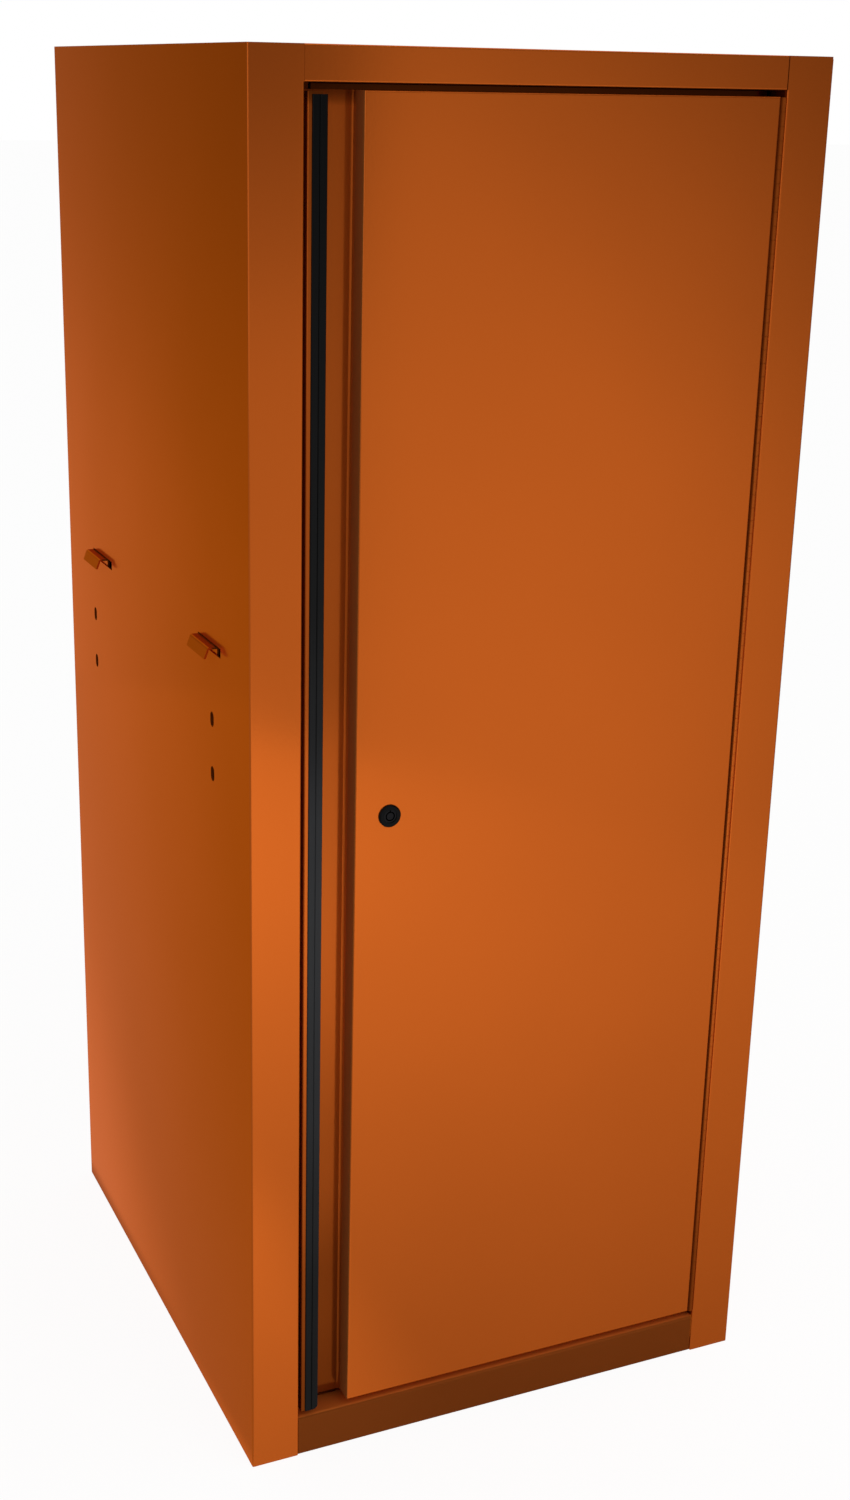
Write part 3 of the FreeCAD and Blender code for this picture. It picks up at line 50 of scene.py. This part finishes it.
def make_camera():
    azimuth, tilt, roll = (math.radians(a) for a in (CAMERA_AZIMUTH, CAMERA_TILT, CAMERA_ROLL))
    ahead = Vector((math.sin(azimuth) * math.cos(tilt), math.cos(azimuth) * math.cos(tilt), math.sin(tilt)))
    level = Vector((math.cos(azimuth), -math.sin(azimuth), 0.0))
    upright = level.cross(ahead)
    right = level * math.cos(roll) + upright * math.sin(roll)
    up = upright * math.cos(roll) - level * math.sin(roll)
    data = bpy.data.cameras.new("camera")
    data.sensor_fit = "AUTO"
    data.sensor_width = SENSOR_MM
    data.lens = FOCAL_PX / IMAGE_HEIGHT * SENSOR_MM
    data.shift_x = (IMAGE_WIDTH / 2 - CENTRE_PX[0]) / IMAGE_HEIGHT
    data.shift_y = (CENTRE_PX[1] - IMAGE_HEIGHT / 2) / IMAGE_HEIGHT
    data.clip_start, data.clip_end = 0.05, 60.0
    camera = bpy.data.objects.new("camera", data)
    rotation = Matrix((right, up, -ahead)).transposed()
    camera.matrix_world = Matrix.Translation(CAMERA_AT) @ rotation.to_4x4()
    bpy.context.scene.collection.objects.link(camera)
    bpy.context.scene.camera = camera


# ---------------------------------------------------------------- materials


def linear(red, green, blue):
    """A colour given as 0 to 255 screen values, as the linear values that shaders take."""
    values = []
    for channel in (red, green, blue):
        share = channel / 255
        values.append(share / 12.92 if share <= 0.04045 else ((share + 0.055) / 1.055) ** 2.4)
    return (*values, 1.0)


class Shader:
    """A material and the few node-tree moves it is made with."""

    def __init__(self, name):
        self.material = bpy.data.materials.new(name)
        self.material.use_nodes = True
        self.tree = self.material.node_tree
        self.surface = self.tree.nodes["Principled BSDF"]
        self.coordinates = self.tree.nodes.new("ShaderNodeTexCoord").outputs
        self.place = self.coordinates["Object"]

    def node(self, kind, **settings):
        made = self.tree.nodes.new(kind)
        for name, value in settings.items():
            setattr(made, name, value)
        return made

    def link(self, source, target):
        self.tree.links.new(source, target)

    def set(self, **values):
        for name, value in values.items():
            self.surface.inputs[name.replace("_", " ")].default_value = value

    def noise(self, scale, detail=2.0, roughness=0.5, stretch=(1.0, 1.0, 1.0)):
        mapping = self.node("ShaderNodeMapping")
        mapping.inputs["Scale"].default_value = stretch
        self.link(self.place, mapping.inputs["Vector"])
        noise = self.node("ShaderNodeTexNoise")
        noise.inputs["Scale"].default_value = scale
        noise.inputs["Detail"].default_value = detail
        noise.inputs["Roughness"].default_value = roughness
        self.link(mapping.outputs["Vector"], noise.inputs["Vector"])
        return noise.outputs["Fac"]

    def spread(self, source, low, high):
        """The source's middle range, mapped to low..high."""
        span = self.node("ShaderNodeMapRange")
        span.inputs["From Min"].default_value = 0.3
        span.inputs["From Max"].default_value = 0.7
        span.inputs["To Min"].default_value = low
        span.inputs["To Max"].default_value = high
        self.link(source, span.inputs["Value"])
        return span.outputs["Result"]

    def blend(self, source, first, second):
        mix = self.node("ShaderNodeMix", data_type="RGBA")
        mix.inputs["A"].default_value = first
        mix.inputs["B"].default_value = second
        self.link(self.spread(source, 0.0, 1.0), mix.inputs["Factor"])
        return mix.outputs["Result"]

    def mask(self, *limits):
        """1 within all the limits: each is Normal or Object, an axis, and where it starts and is full."""
        whole = None
        for source, axis, start, end in limits:
            axes = self.node("ShaderNodeSeparateXYZ")
            self.link(self.coordinates[source], axes.inputs[0])
            edge = self.node("ShaderNodeMapRange", interpolation_type="SMOOTHSTEP")
            edge.inputs["From Min"].default_value = start
            edge.inputs["From Max"].default_value = end
            self.link(axes.outputs[axis], edge.inputs["Value"])
            part = edge.outputs["Result"]
            if whole is not None:
                both = self.node("ShaderNodeMath", operation="MULTIPLY")
                self.link(whole, both.inputs[0])
                self.link(part, both.inputs[1])
                part = both.outputs[0]
            whole = part
        return whole

    def mixed(self, share, first, second, mode="MIX"):
        """The first colour, going over to the second by the share; either may be a socket."""
        mix = self.node("ShaderNodeMix", data_type="RGBA", blend_type=mode)
        for name, value in (("Factor", share), ("A", first), ("B", second)):
            if isinstance(value, bpy.types.NodeSocket):
                self.link(value, mix.inputs[name])
            else:
                mix.inputs[name].default_value = value
        return mix.outputs["Result"]

    def eased(self, share, first, last):
        """From first to the number last by the share; first may be a socket."""
        level = self.node("ShaderNodeMapRange")
        if isinstance(first, bpy.types.NodeSocket):
            self.link(first, level.inputs["To Min"])
        else:
            level.inputs["To Min"].default_value = first
        level.inputs["To Max"].default_value = last
        self.link(share, level.inputs["Value"])
        return level.outputs["Result"]

    def coat(self, cloud, colour, stops):
        """The colour, faintly clouded, and along the height where it has stops."""
        clouded = self.blend(cloud, scaled(colour, 0.97), scaled(colour, 1.03))
        return clouded if stops is None else self.by_height(clouded, stops)

    def by_height(self, colour, stops):
        """The colour made darker or lighter along the height; stops are pairs of metres and share."""
        axes = self.node("ShaderNodeSeparateXYZ")
        self.link(self.place, axes.inputs[0])
        share = self.node("ShaderNodeMath", operation="DIVIDE")
        share.inputs[1].default_value = HEIGHT
        self.link(axes.outputs["Z"], share.inputs[0])
        ramp = self.node("ShaderNodeValToRGB")
        ramp.color_ramp.interpolation = "EASE"
        marks = ramp.color_ramp.elements
        while len(marks) < len(stops):
            marks.new(0.5)
        for mark, (height, level) in zip(marks, stops):
            mark.position = height / HEIGHT
            mark.color = (level, level, level, 1.0)
        self.link(share.outputs[0], ramp.inputs["Fac"])
        return self.mixed(1.0, colour, ramp.outputs["Color"], "MULTIPLY")

    def bumps(self, *layers):
        """Stack height layers: each is a source, a strength and a depth in metres."""
        below = None
        for source, strength, depth in layers:
            bump = self.node("ShaderNodeBump")
            bump.inputs["Strength"].default_value = strength
            bump.inputs["Distance"].default_value = depth
            self.link(source, bump.inputs["Height"])
            if below is not None:
                self.link(below, bump.inputs["Normal"])
            below = bump.outputs["Normal"]
        self.link(below, self.surface.inputs["Normal"])


def scaled(colour, share):
    return (*(channel * share for channel in colour[:3]), 1.0)


SHEEN = (1.0, 0.56, 0.40, 1.0)
CLOUD_SCALE, WAVE_SCALE, PEEL_SCALE, GRAIN_SCALE = 2.2, 3.1, 330.0, 900.0
PEEL_DEPTH, GRAIN_DEPTH = 0.00012, 0.00003


def paint(name, colour, metallic=0.6, dish=0.0016, stops=None, areas=()):
    """Coloured powder coat with a metallic share and a faint orange peel.

    dish is the depth of the sheet's own slow waves, in metres. stops are as in by_height. Each area
    is its limits, as in mask, and the colour, metallic share and stops that it has instead."""
    shader = Shader(name)
    cloud = shader.noise(CLOUD_SCALE, 3.0, 0.55)
    grain = shader.noise(GRAIN_SCALE, 1.0)
    peel = shader.noise(PEEL_SCALE, 2.0, 0.45)
    waves = shader.noise(WAVE_SCALE, 1.0, 0.4)
    shader.set(Metallic=metallic, Specular_IOR_Level=0.0, Specular_Tint=SHEEN)
    coat = shader.coat(cloud, colour, stops)
    glow = metallic
    for limits, area_colour, area_metallic, area_stops in areas:
        share = shader.mask(*limits)
        coat = shader.mixed(share, coat, shader.coat(cloud, area_colour, area_stops))
        glow = shader.eased(share, glow, area_metallic)
    shader.link(coat, shader.surface.inputs["Base Color"])
    if areas:
        shader.link(glow, shader.surface.inputs["Metallic"])
    shader.link(shader.spread(cloud, 0.10, 0.13), shader.surface.inputs["Roughness"])
    shader.bumps((waves, 0.5, dish), (peel, 0.16, PEEL_DEPTH), (grain, 0.10, GRAIN_DEPTH))
    return shader.material


def black_trim():
    """Black extrusion: satin, with faint drawing lines along its length, and painted reflection along its
    height.
    """
    shader = Shader("trim_black")
    lines = shader.noise(420.0, 2.0, 0.6, (1.0, 1.0, 0.02))
    cloud = shader.noise(6.0, 2.0)
    coat = shader.blend(cloud, linear(58, 59, 61), linear(64, 65, 67))
    # Painted reflection: lighter in a band at mid height, near black towards the top and bottom.
    shader.link(shader.by_height(coat, TRIM_REFLECTION_STOPS), shader.surface.inputs["Base Color"])
    shader.link(shader.spread(lines, 0.26, 0.34), shader.surface.inputs["Roughness"])
    shader.set(Specular_IOR_Level=0.10)
    shader.bumps((lines, 0.10, 0.00005))
    return shader.material


def lock_black():
    shader = Shader("lock_black")
    grain = shader.noise(700.0, 2.0)
    cloud = shader.noise(60.0, 2.0)
    shader.link(shader.blend(cloud, linear(4, 4, 5), linear(8, 8, 10)),
                shader.surface.inputs["Base Color"])
    shader.link(shader.spread(grain, 0.30, 0.44), shader.surface.inputs["Roughness"])
    shader.set(Specular_IOR_Level=0.08)
    shader.bumps((grain, 0.12, 0.00004))
    return shader.material


def lock_core():
    """Dark nickel core with a fine grain."""
    shader = Shader("lock_core")
    grain = shader.noise(1500.0, 2.0)
    cloud = shader.noise(90.0, 2.0)
    shader.link(shader.blend(cloud, linear(18, 17, 19), linear(24, 23, 25)),
                shader.surface.inputs["Base Color"])
    shader.link(shader.spread(grain, 0.28, 0.42), shader.surface.inputs["Roughness"])
    shader.set(Metallic=0.9)
    shader.bumps((grain, 0.15, 0.00003))
    return shader.material


def zinc(name, low, high):
    """Plated steel with a mottled, slightly worn finish."""
    shader = Shader(name)
    mottle = shader.noise(70.0, 4.0, 0.6)
    brushed = shader.noise(300.0, 3.0, 0.6, (1.0, 1.0, 0.06))
    shader.link(shader.blend(mottle, low, high), shader.surface.inputs["Base Color"])
    shader.link(shader.spread(brushed, 0.24, 0.44), shader.surface.inputs["Roughness"])
    shader.set(Metallic=1.0)
    shader.bumps((brushed, 0.12, 0.00005))
    return shader.material


def plain(name, low, high, rough, grain_scale, depth):
    """Moulded plastic or rubber."""
    shader = Shader(name)
    cloud = shader.noise(40.0, 2.0)
    grain = shader.noise(grain_scale, 2.0)
    shader.link(shader.blend(cloud, low, high), shader.surface.inputs["Base Color"])
    shader.link(shader.spread(grain, rough - 0.05, rough + 0.05), shader.surface.inputs["Roughness"])
    shader.bumps((grain, 0.2, depth))
    return shader.material


COPPER = linear(208, 100, 34)
# A darker, browner copy of the body paint for the sill: painted shade.
SHADED_SILL_TONE = linear(158, 80, 30)
# An unmetallic tone for the recess wall, which paints the shade on it.
RECESS_WALL_SHADE_TONE = linear(190, 114, 58)

# Pairs of a height in metres and the share of the finish's brightness there; these paint light and shade
# along the height.
# Recess: painted shade below about 0.3 m and in the top 10 mm, painted light from about 0.3 to 0.84 m.
RECESS_LIGHT_AND_SHADE_STOPS = [(0.06, 0.50), (0.18, 0.64), (0.32, 1.07), (0.55, 1.45), (0.76, 1.22), (0.84, 1.0),
                (1.335, 1.0), (1.345, 0.4)]
# Trim: painted reflection, lighter from about 0.4 to 0.75 m and near black below 0.2 m and above 0.9 m.
TRIM_REFLECTION_STOPS = [(0.09, 0.01), (0.18, 0.10), (0.29, 0.42), (0.40, 0.78), (0.57, 1.1), (0.68, 1.1),
              (0.80, 0.33), (0.92, 0.12), (1.30, 0.03)]
# Hinge: painted light from about 0.3 to 0.95 m, painted shade below 0.25 m and above 1 m.
HINGE_LIGHT_AND_SHADE_STOPS = [(0.12, 0.62), (0.25, 0.97), (0.40, 1.33), (0.55, 1.47), (0.70, 1.5), (0.85, 1.3),
               (1.0, 1.0), (1.15, 0.8), (1.3, 0.65)]
# Door liner: painted shade above 1.347 m, in the gap over the door.
LINER_SHADE_STOPS = [(1.343, 1.0), (1.347, 0.12)]

# Where an area starts and where it is full: Object limits are places in metres, and Normal limits
# are how far a face points along the axis.
# Upward faces, where painted light goes on the sill's top.
SILL_TOP_PAINTED_LIGHT = ("Normal", "Z", 0.55, 1.0)
# Faces pointing along -X, where the recess wall gets its painted shade.
RECESS_SHADED_SIDE = ("Normal", "X", -0.6, -0.95)
RECESS_FLOOR = ("Object", "Y", -0.2925, -0.2890)
STOP_FLANGE = ("Object", "X", -0.2356, -0.2350)
HINGE_JAMB = ("Object", "X", 0.2379, 0.2377)
BEHIND_STILE = ("Object", "Y", -0.3075, -0.3065)
FACING_DOOR = ("Normal", "X", -0.3, -0.8)
BARREL_FRONT = ("Object", "Y", -0.3055, -0.3060)
RAIL_UNDERSIDE = ("Normal", "Z", -0.2, -0.9)
RAIL_FRONT = ("Object", "Y", -0.3088, -0.3094)

FINISHES = {
    "copper_paint": paint("copper_powder_coat", COPPER),
    # The sill: a darker copy of the body paint (painted shade), its upward faces 2.4 times brighter (painted
    # light).
    "sill_paint": paint("sill_shaded_and_lit_coat", SHADED_SILL_TONE, 0.15, areas=[
        ([SILL_TOP_PAINTED_LIGHT], scaled(SHADED_SILL_TONE, 2.4), 0.1, None)]),
    "zinc_steel": zinc("zinc_plate", linear(168, 170, 172), linear(200, 202, 203)),
    "black_lock": lock_black(),
    "lock_core": lock_core(),
    "black_trim": black_trim(),
    "nylon": plain("natural_nylon", linear(214, 211, 200), linear(226, 223, 213), 0.45, 500.0, 0.00004),
    "bumper_rubber": plain("black_rubber", linear(30, 30, 30), linear(38, 38, 38), 0.75, 800.0, 0.00006),
    "magnet": zinc("nickel_plate", linear(140, 140, 142), linear(168, 168, 170)),
}

SHADED = scaled(COPPER, 0.3)
# The hinge: painted light and shade along its height, and painted shade on the barrel's side that faces the
# door.
HINGE_LIT_AND_SHADED_PAINT = paint("hinge_lit_and_shaded_coat", COPPER, 0.15, stops=HINGE_LIGHT_AND_SHADE_STOPS, areas=[
    ([FACING_DOOR, BARREL_FRONT], SHADED, 0.1, None)])
OWN_FINISHES = {
    # Painted shade on the recess wall; painted light and shade along the height of the less metallic recess
    # floor.
    "door_skin": paint("door_powder_coat", COPPER, 0.6, 0.004, areas=[
        ([RECESS_SHADED_SIDE], RECESS_WALL_SHADE_TONE, 0.0, None),
        ([RECESS_FLOOR], COPPER, 0.25, RECESS_LIGHT_AND_SHADE_STOPS)]),
    # A darker copy of the body paint (painted shade), with painted light and shade along its height.
    "door_recess_channel": paint("recess_lit_and_shaded_coat", scaled(COPPER, 0.68), 0.6, stops=RECESS_LIGHT_AND_SHADE_STOPS),
    "left_side_panel": paint("left_powder_coat", COPPER, areas=[
        ([STOP_FLANGE], SHADED, 0.2, None)]),
    "right_side_panel": paint("right_powder_coat", COPPER, areas=[
        ([HINGE_JAMB, BEHIND_STILE], SHADED, 0.2, None)]),
    "top_panel": paint("top_powder_coat", COPPER, areas=[
        ([RAIL_UNDERSIDE, RAIL_FRONT], SHADED, 0.2, None)]),
    # Painted shade on the liner above 1.347 m, in the gap over the door.
    "door_inner_panel": paint("liner_powder_coat", COPPER, 0.6, stops=LINER_SHADE_STOPS),
    "hinge_frame_leaf": HINGE_LIT_AND_SHADED_PAINT,
    "hinge_door_leaf": HINGE_LIT_AND_SHADED_PAINT,
    "hinge_pin": HINGE_LIT_AND_SHADED_PAINT,
}

for entry in frame["record"]["subparts"]:
    node = NODES[entry["node"]]
    node.data.materials.clear()
    node.data.materials.append(OWN_FINISHES.get(entry["node"], FINISHES[entry["material_slot"]]))

# ---------------------------------------------------------------- studio

FLOOR_HALF = 40.0
FLOOR_Z, SHEET_Z = -0.0005, -0.0002
SIDE_EDGE = (-0.296, -0.286)


def is_seen_ray(tree):
    """1 for the rays that show a background: camera, glossy and transmission."""
    path = tree.nodes.new("ShaderNodeLightPath")
    total = path.outputs["Is Camera Ray"]
    for name in ("Is Glossy Ray", "Is Transmission Ray"):
        most = tree.nodes.new("ShaderNodeMath")
        most.operation = "MAXIMUM"
        tree.links.new(total, most.inputs[0])
        tree.links.new(path.outputs[name], most.inputs[1])
        total = most.outputs[0]
    return total


def make_world():
    world = bpy.data.worlds.new("studio")
    world.use_nodes = True
    tree = world.node_tree
    seen, light = tree.nodes["Background"], tree.nodes.new("ShaderNodeBackground")
    seen.inputs["Color"].default_value = (1.0, 1.0, 1.0, 1.0)
    seen.inputs["Strength"].default_value = 1.0
    light.inputs["Color"].default_value = (1.0, 1.0, 1.0, 1.0)
    light.inputs["Strength"].default_value = 0.30
    mix = tree.nodes.new("ShaderNodeMixShader")
    tree.links.new(is_seen_ray(tree), mix.inputs[0])
    tree.links.new(light.outputs[0], mix.inputs[1])
    tree.links.new(seen.outputs[0], mix.inputs[2])
    tree.links.new(mix.outputs[0], tree.nodes["World Output"].inputs["Surface"])
    bpy.context.scene.world = world


def flat_card(name, centre, half_x, half_y, material):
    """A flat rectangle lying level, for the floor."""
    mesh = bpy.data.meshes.new(name)
    corners = [(-half_x, -half_y, 0), (half_x, -half_y, 0), (half_x, half_y, 0), (-half_x, half_y, 0)]
    mesh.from_pydata(corners, [], [(0, 1, 2, 3)])
    mesh.materials.append(material)
    card = bpy.data.objects.new(name, mesh)
    card.location = centre
    bpy.context.scene.collection.objects.link(card)


def floor_material():
    """White where seen, with the object's shadow kept."""
    material = bpy.data.materials.new("floor_white")
    material.use_nodes = True
    tree = material.node_tree
    tree.nodes.clear()
    diffuse = tree.nodes.new("ShaderNodeBsdfDiffuse")
    diffuse.inputs["Color"].default_value = (0.86, 0.86, 0.86, 1.0)
    glow = tree.nodes.new("ShaderNodeEmission")
    glow.inputs["Strength"].default_value = 1.16
    mix = tree.nodes.new("ShaderNodeMixShader")
    share = tree.nodes.new("ShaderNodeMath")
    share.operation = "MULTIPLY"
    share.inputs[1].default_value = 0.8
    tree.links.new(is_seen_ray(tree), share.inputs[0])
    tree.links.new(share.outputs[0], mix.inputs[0])
    tree.links.new(diffuse.outputs[0], mix.inputs[1])
    tree.links.new(glow.outputs[0], mix.inputs[2])
    out = tree.nodes.new("ShaderNodeOutputMaterial")
    tree.links.new(mix.outputs[0], out.inputs["Surface"])
    return material


def graded(tree, source, start, end, first, last):
    """The source's range from start to end, eased into the values from first to last."""
    grade = tree.nodes.new("ShaderNodeMapRange")
    grade.interpolation_type = "SMOOTHSTEP"
    for name, value in (("From Min", start), ("From Max", end), ("To Min", first), ("To Max", last)):
        grade.inputs[name].default_value = value
    tree.links.new(source, grade.inputs["Value"])
    return grade.outputs["Result"]


def combined(tree, operation, first, second):
    """Two values put together; second may be a plain number."""
    node = tree.nodes.new("ShaderNodeMath")
    node.operation = operation
    tree.links.new(first, node.inputs[0])
    if isinstance(second, float):
        node.inputs[1].default_value = second
    else:
        tree.links.new(second, node.inputs[1])
    return node.outputs[0]


def card(name, centre, facing, width, height, levels):
    """A card that shows only in reflections; levels gives its brightness from its place."""
    material = bpy.data.materials.new(name)
    material.use_nodes = True
    tree = material.node_tree
    surface = tree.nodes["Principled BSDF"]
    surface.inputs["Base Color"].default_value = (0.0, 0.0, 0.0, 1.0)
    surface.inputs["Specular IOR Level"].default_value = 0.0
    surface.inputs["Emission Color"].default_value = (1.0, 1.0, 1.0, 1.0)
    place = tree.nodes.new("ShaderNodeNewGeometry")
    axes = tree.nodes.new("ShaderNodeSeparateXYZ")
    tree.links.new(place.outputs["Position"], axes.inputs[0])
    level = levels(tree, axes.outputs["X"], axes.outputs["Y"], axes.outputs["Z"])
    tree.links.new(level, surface.inputs["Emission Strength"])
    mesh = bpy.data.meshes.new(name)
    w, h = width / 2, height / 2
    mesh.from_pydata([(-w, -h, 0), (w, -h, 0), (w, h, 0), (-w, h, 0)], [], [(0, 1, 2, 3)])
    mesh.materials.append(material)
    made = bpy.data.objects.new(name, mesh)
    made.matrix_world = (Matrix.Translation(centre)
                         @ Vector(facing).to_track_quat("Z", "Y").to_matrix().to_4x4())
    made.visible_camera = False
    made.visible_shadow = False
    made.visible_diffuse = False
    bpy.context.scene.collection.objects.link(made)


def front_levels(tree, x, y, z):
    """Greyer towards the top and the right, most of all in the top right corner, and on the left."""
    upward = graded(tree, z, 0.02, 2.4, 1.10, 0.58)
    rightward = graded(tree, x, 0.94, 1.64, 1.0, 0.40)
    corner = graded(tree, combined(tree, "ADD", x, combined(tree, "MULTIPLY", z, 0.83)), 1.6, 2.75, 1.0, 0.2)
    inner = combined(tree, "MULTIPLY", combined(tree, "MULTIPLY", upward, rightward), corner)
    left_edge = combined(tree, "MULTIPLY", graded(tree, z, 0.7, 1.5, 0.78, 0.28),
                         graded(tree, x, 0.60, 0.76, 1.0, 0.0))
    leftward = combined(tree, "ADD", left_edge, graded(tree, x, 0.60, 0.76, 0.0, 1.0))
    return combined(tree, "MULTIPLY", inner, leftward)


def left_levels(tree, x, y, z):
    """Greyer towards the top, brighter towards the back."""
    return combined(tree, "MULTIPLY", graded(tree, z, 0.15, 1.7, 1.66, 0.74),
                    graded(tree, x, -1.19, -0.42, 0.33, 1.0))


def floor_levels(tree, x, y, z):
    """Bright well in front of the cabinet, greyer near it and to its right, with a bright patch
    before its left edge; beside it, brighter towards the back."""
    away = combined(tree, "MULTIPLY", graded(tree, y, -2.05, 0.3, 1.62, 0.40),
                    graded(tree, x, -0.05, 2.0, 1.0, 0.36))
    patch = combined(tree, "MULTIPLY", graded(tree, y, -1.0, -0.7, 0.0, 0.51),
                     graded(tree, x, -0.18, -0.02, 1.0, 0.0))
    in_front = combined(tree, "MULTIPLY", away, combined(tree, "ADD", patch, 1.0))
    broad = combined(tree, "ADD", y, combined(tree, "MULTIPLY", x, 3.0))
    steep = combined(tree, "ADD", y, combined(tree, "MULTIPLY", x, 5.4))
    beside = combined(tree, "ADD", graded(tree, broad, -1.45, -0.1, 0.60, 0.95),
                      graded(tree, steep, -1.75, -1.3, 0.0, 0.30))
    return combined(tree, "ADD",
                    combined(tree, "MULTIPLY", in_front, graded(tree, x, *SIDE_EDGE, 0.0, 1.0)),
                    combined(tree, "MULTIPLY", beside, graded(tree, x, *SIDE_EDGE, 1.0, 0.0)))


def area_light(name, at, towards, width, height, watts):
    data = bpy.data.lights.new(name, "AREA")
    data.shape = "RECTANGLE"
    data.size, data.size_y = width, height
    data.energy = watts
    light = bpy.data.objects.new(name, data)
    light.location = at
    direction = Vector(towards) - Vector(at)
    light.rotation_euler = direction.to_track_quat("-Z", "Y").to_euler()
    bpy.context.scene.collection.objects.link(light)
    return light


def make_studio():
    make_world()
    flat_card("floor", (0.0, 0.0, FLOOR_Z), FLOOR_HALF, FLOOR_HALF, floor_material())
    card("flag_front", (0.77, -2.26, 1.5), (-0.772, 0.636, 0.0), 7.0, 3.0, front_levels)
    card("flag_left", (-1.9, 1.3, 1.5), (0.75, -0.66, 0.0), 6.0, 3.0, left_levels)
    card("floor_sheet", (0.0, 0.0, SHEET_Z), (0.0, 0.0, 1.0), 12.0, 12.0, floor_levels)
    area_light("key", (0.9, -2.6, 2.6), (0.0, 0.0, 0.6), 1.6, 1.6, 8.0)
    area_light("fill", (2.4, -1.6, 1.8), (0.0, 0.0, 0.6), 1.6, 1.6, 3.0)


make_camera()
make_studio()
bpy.context.scene.view_settings.view_transform = "Standard"
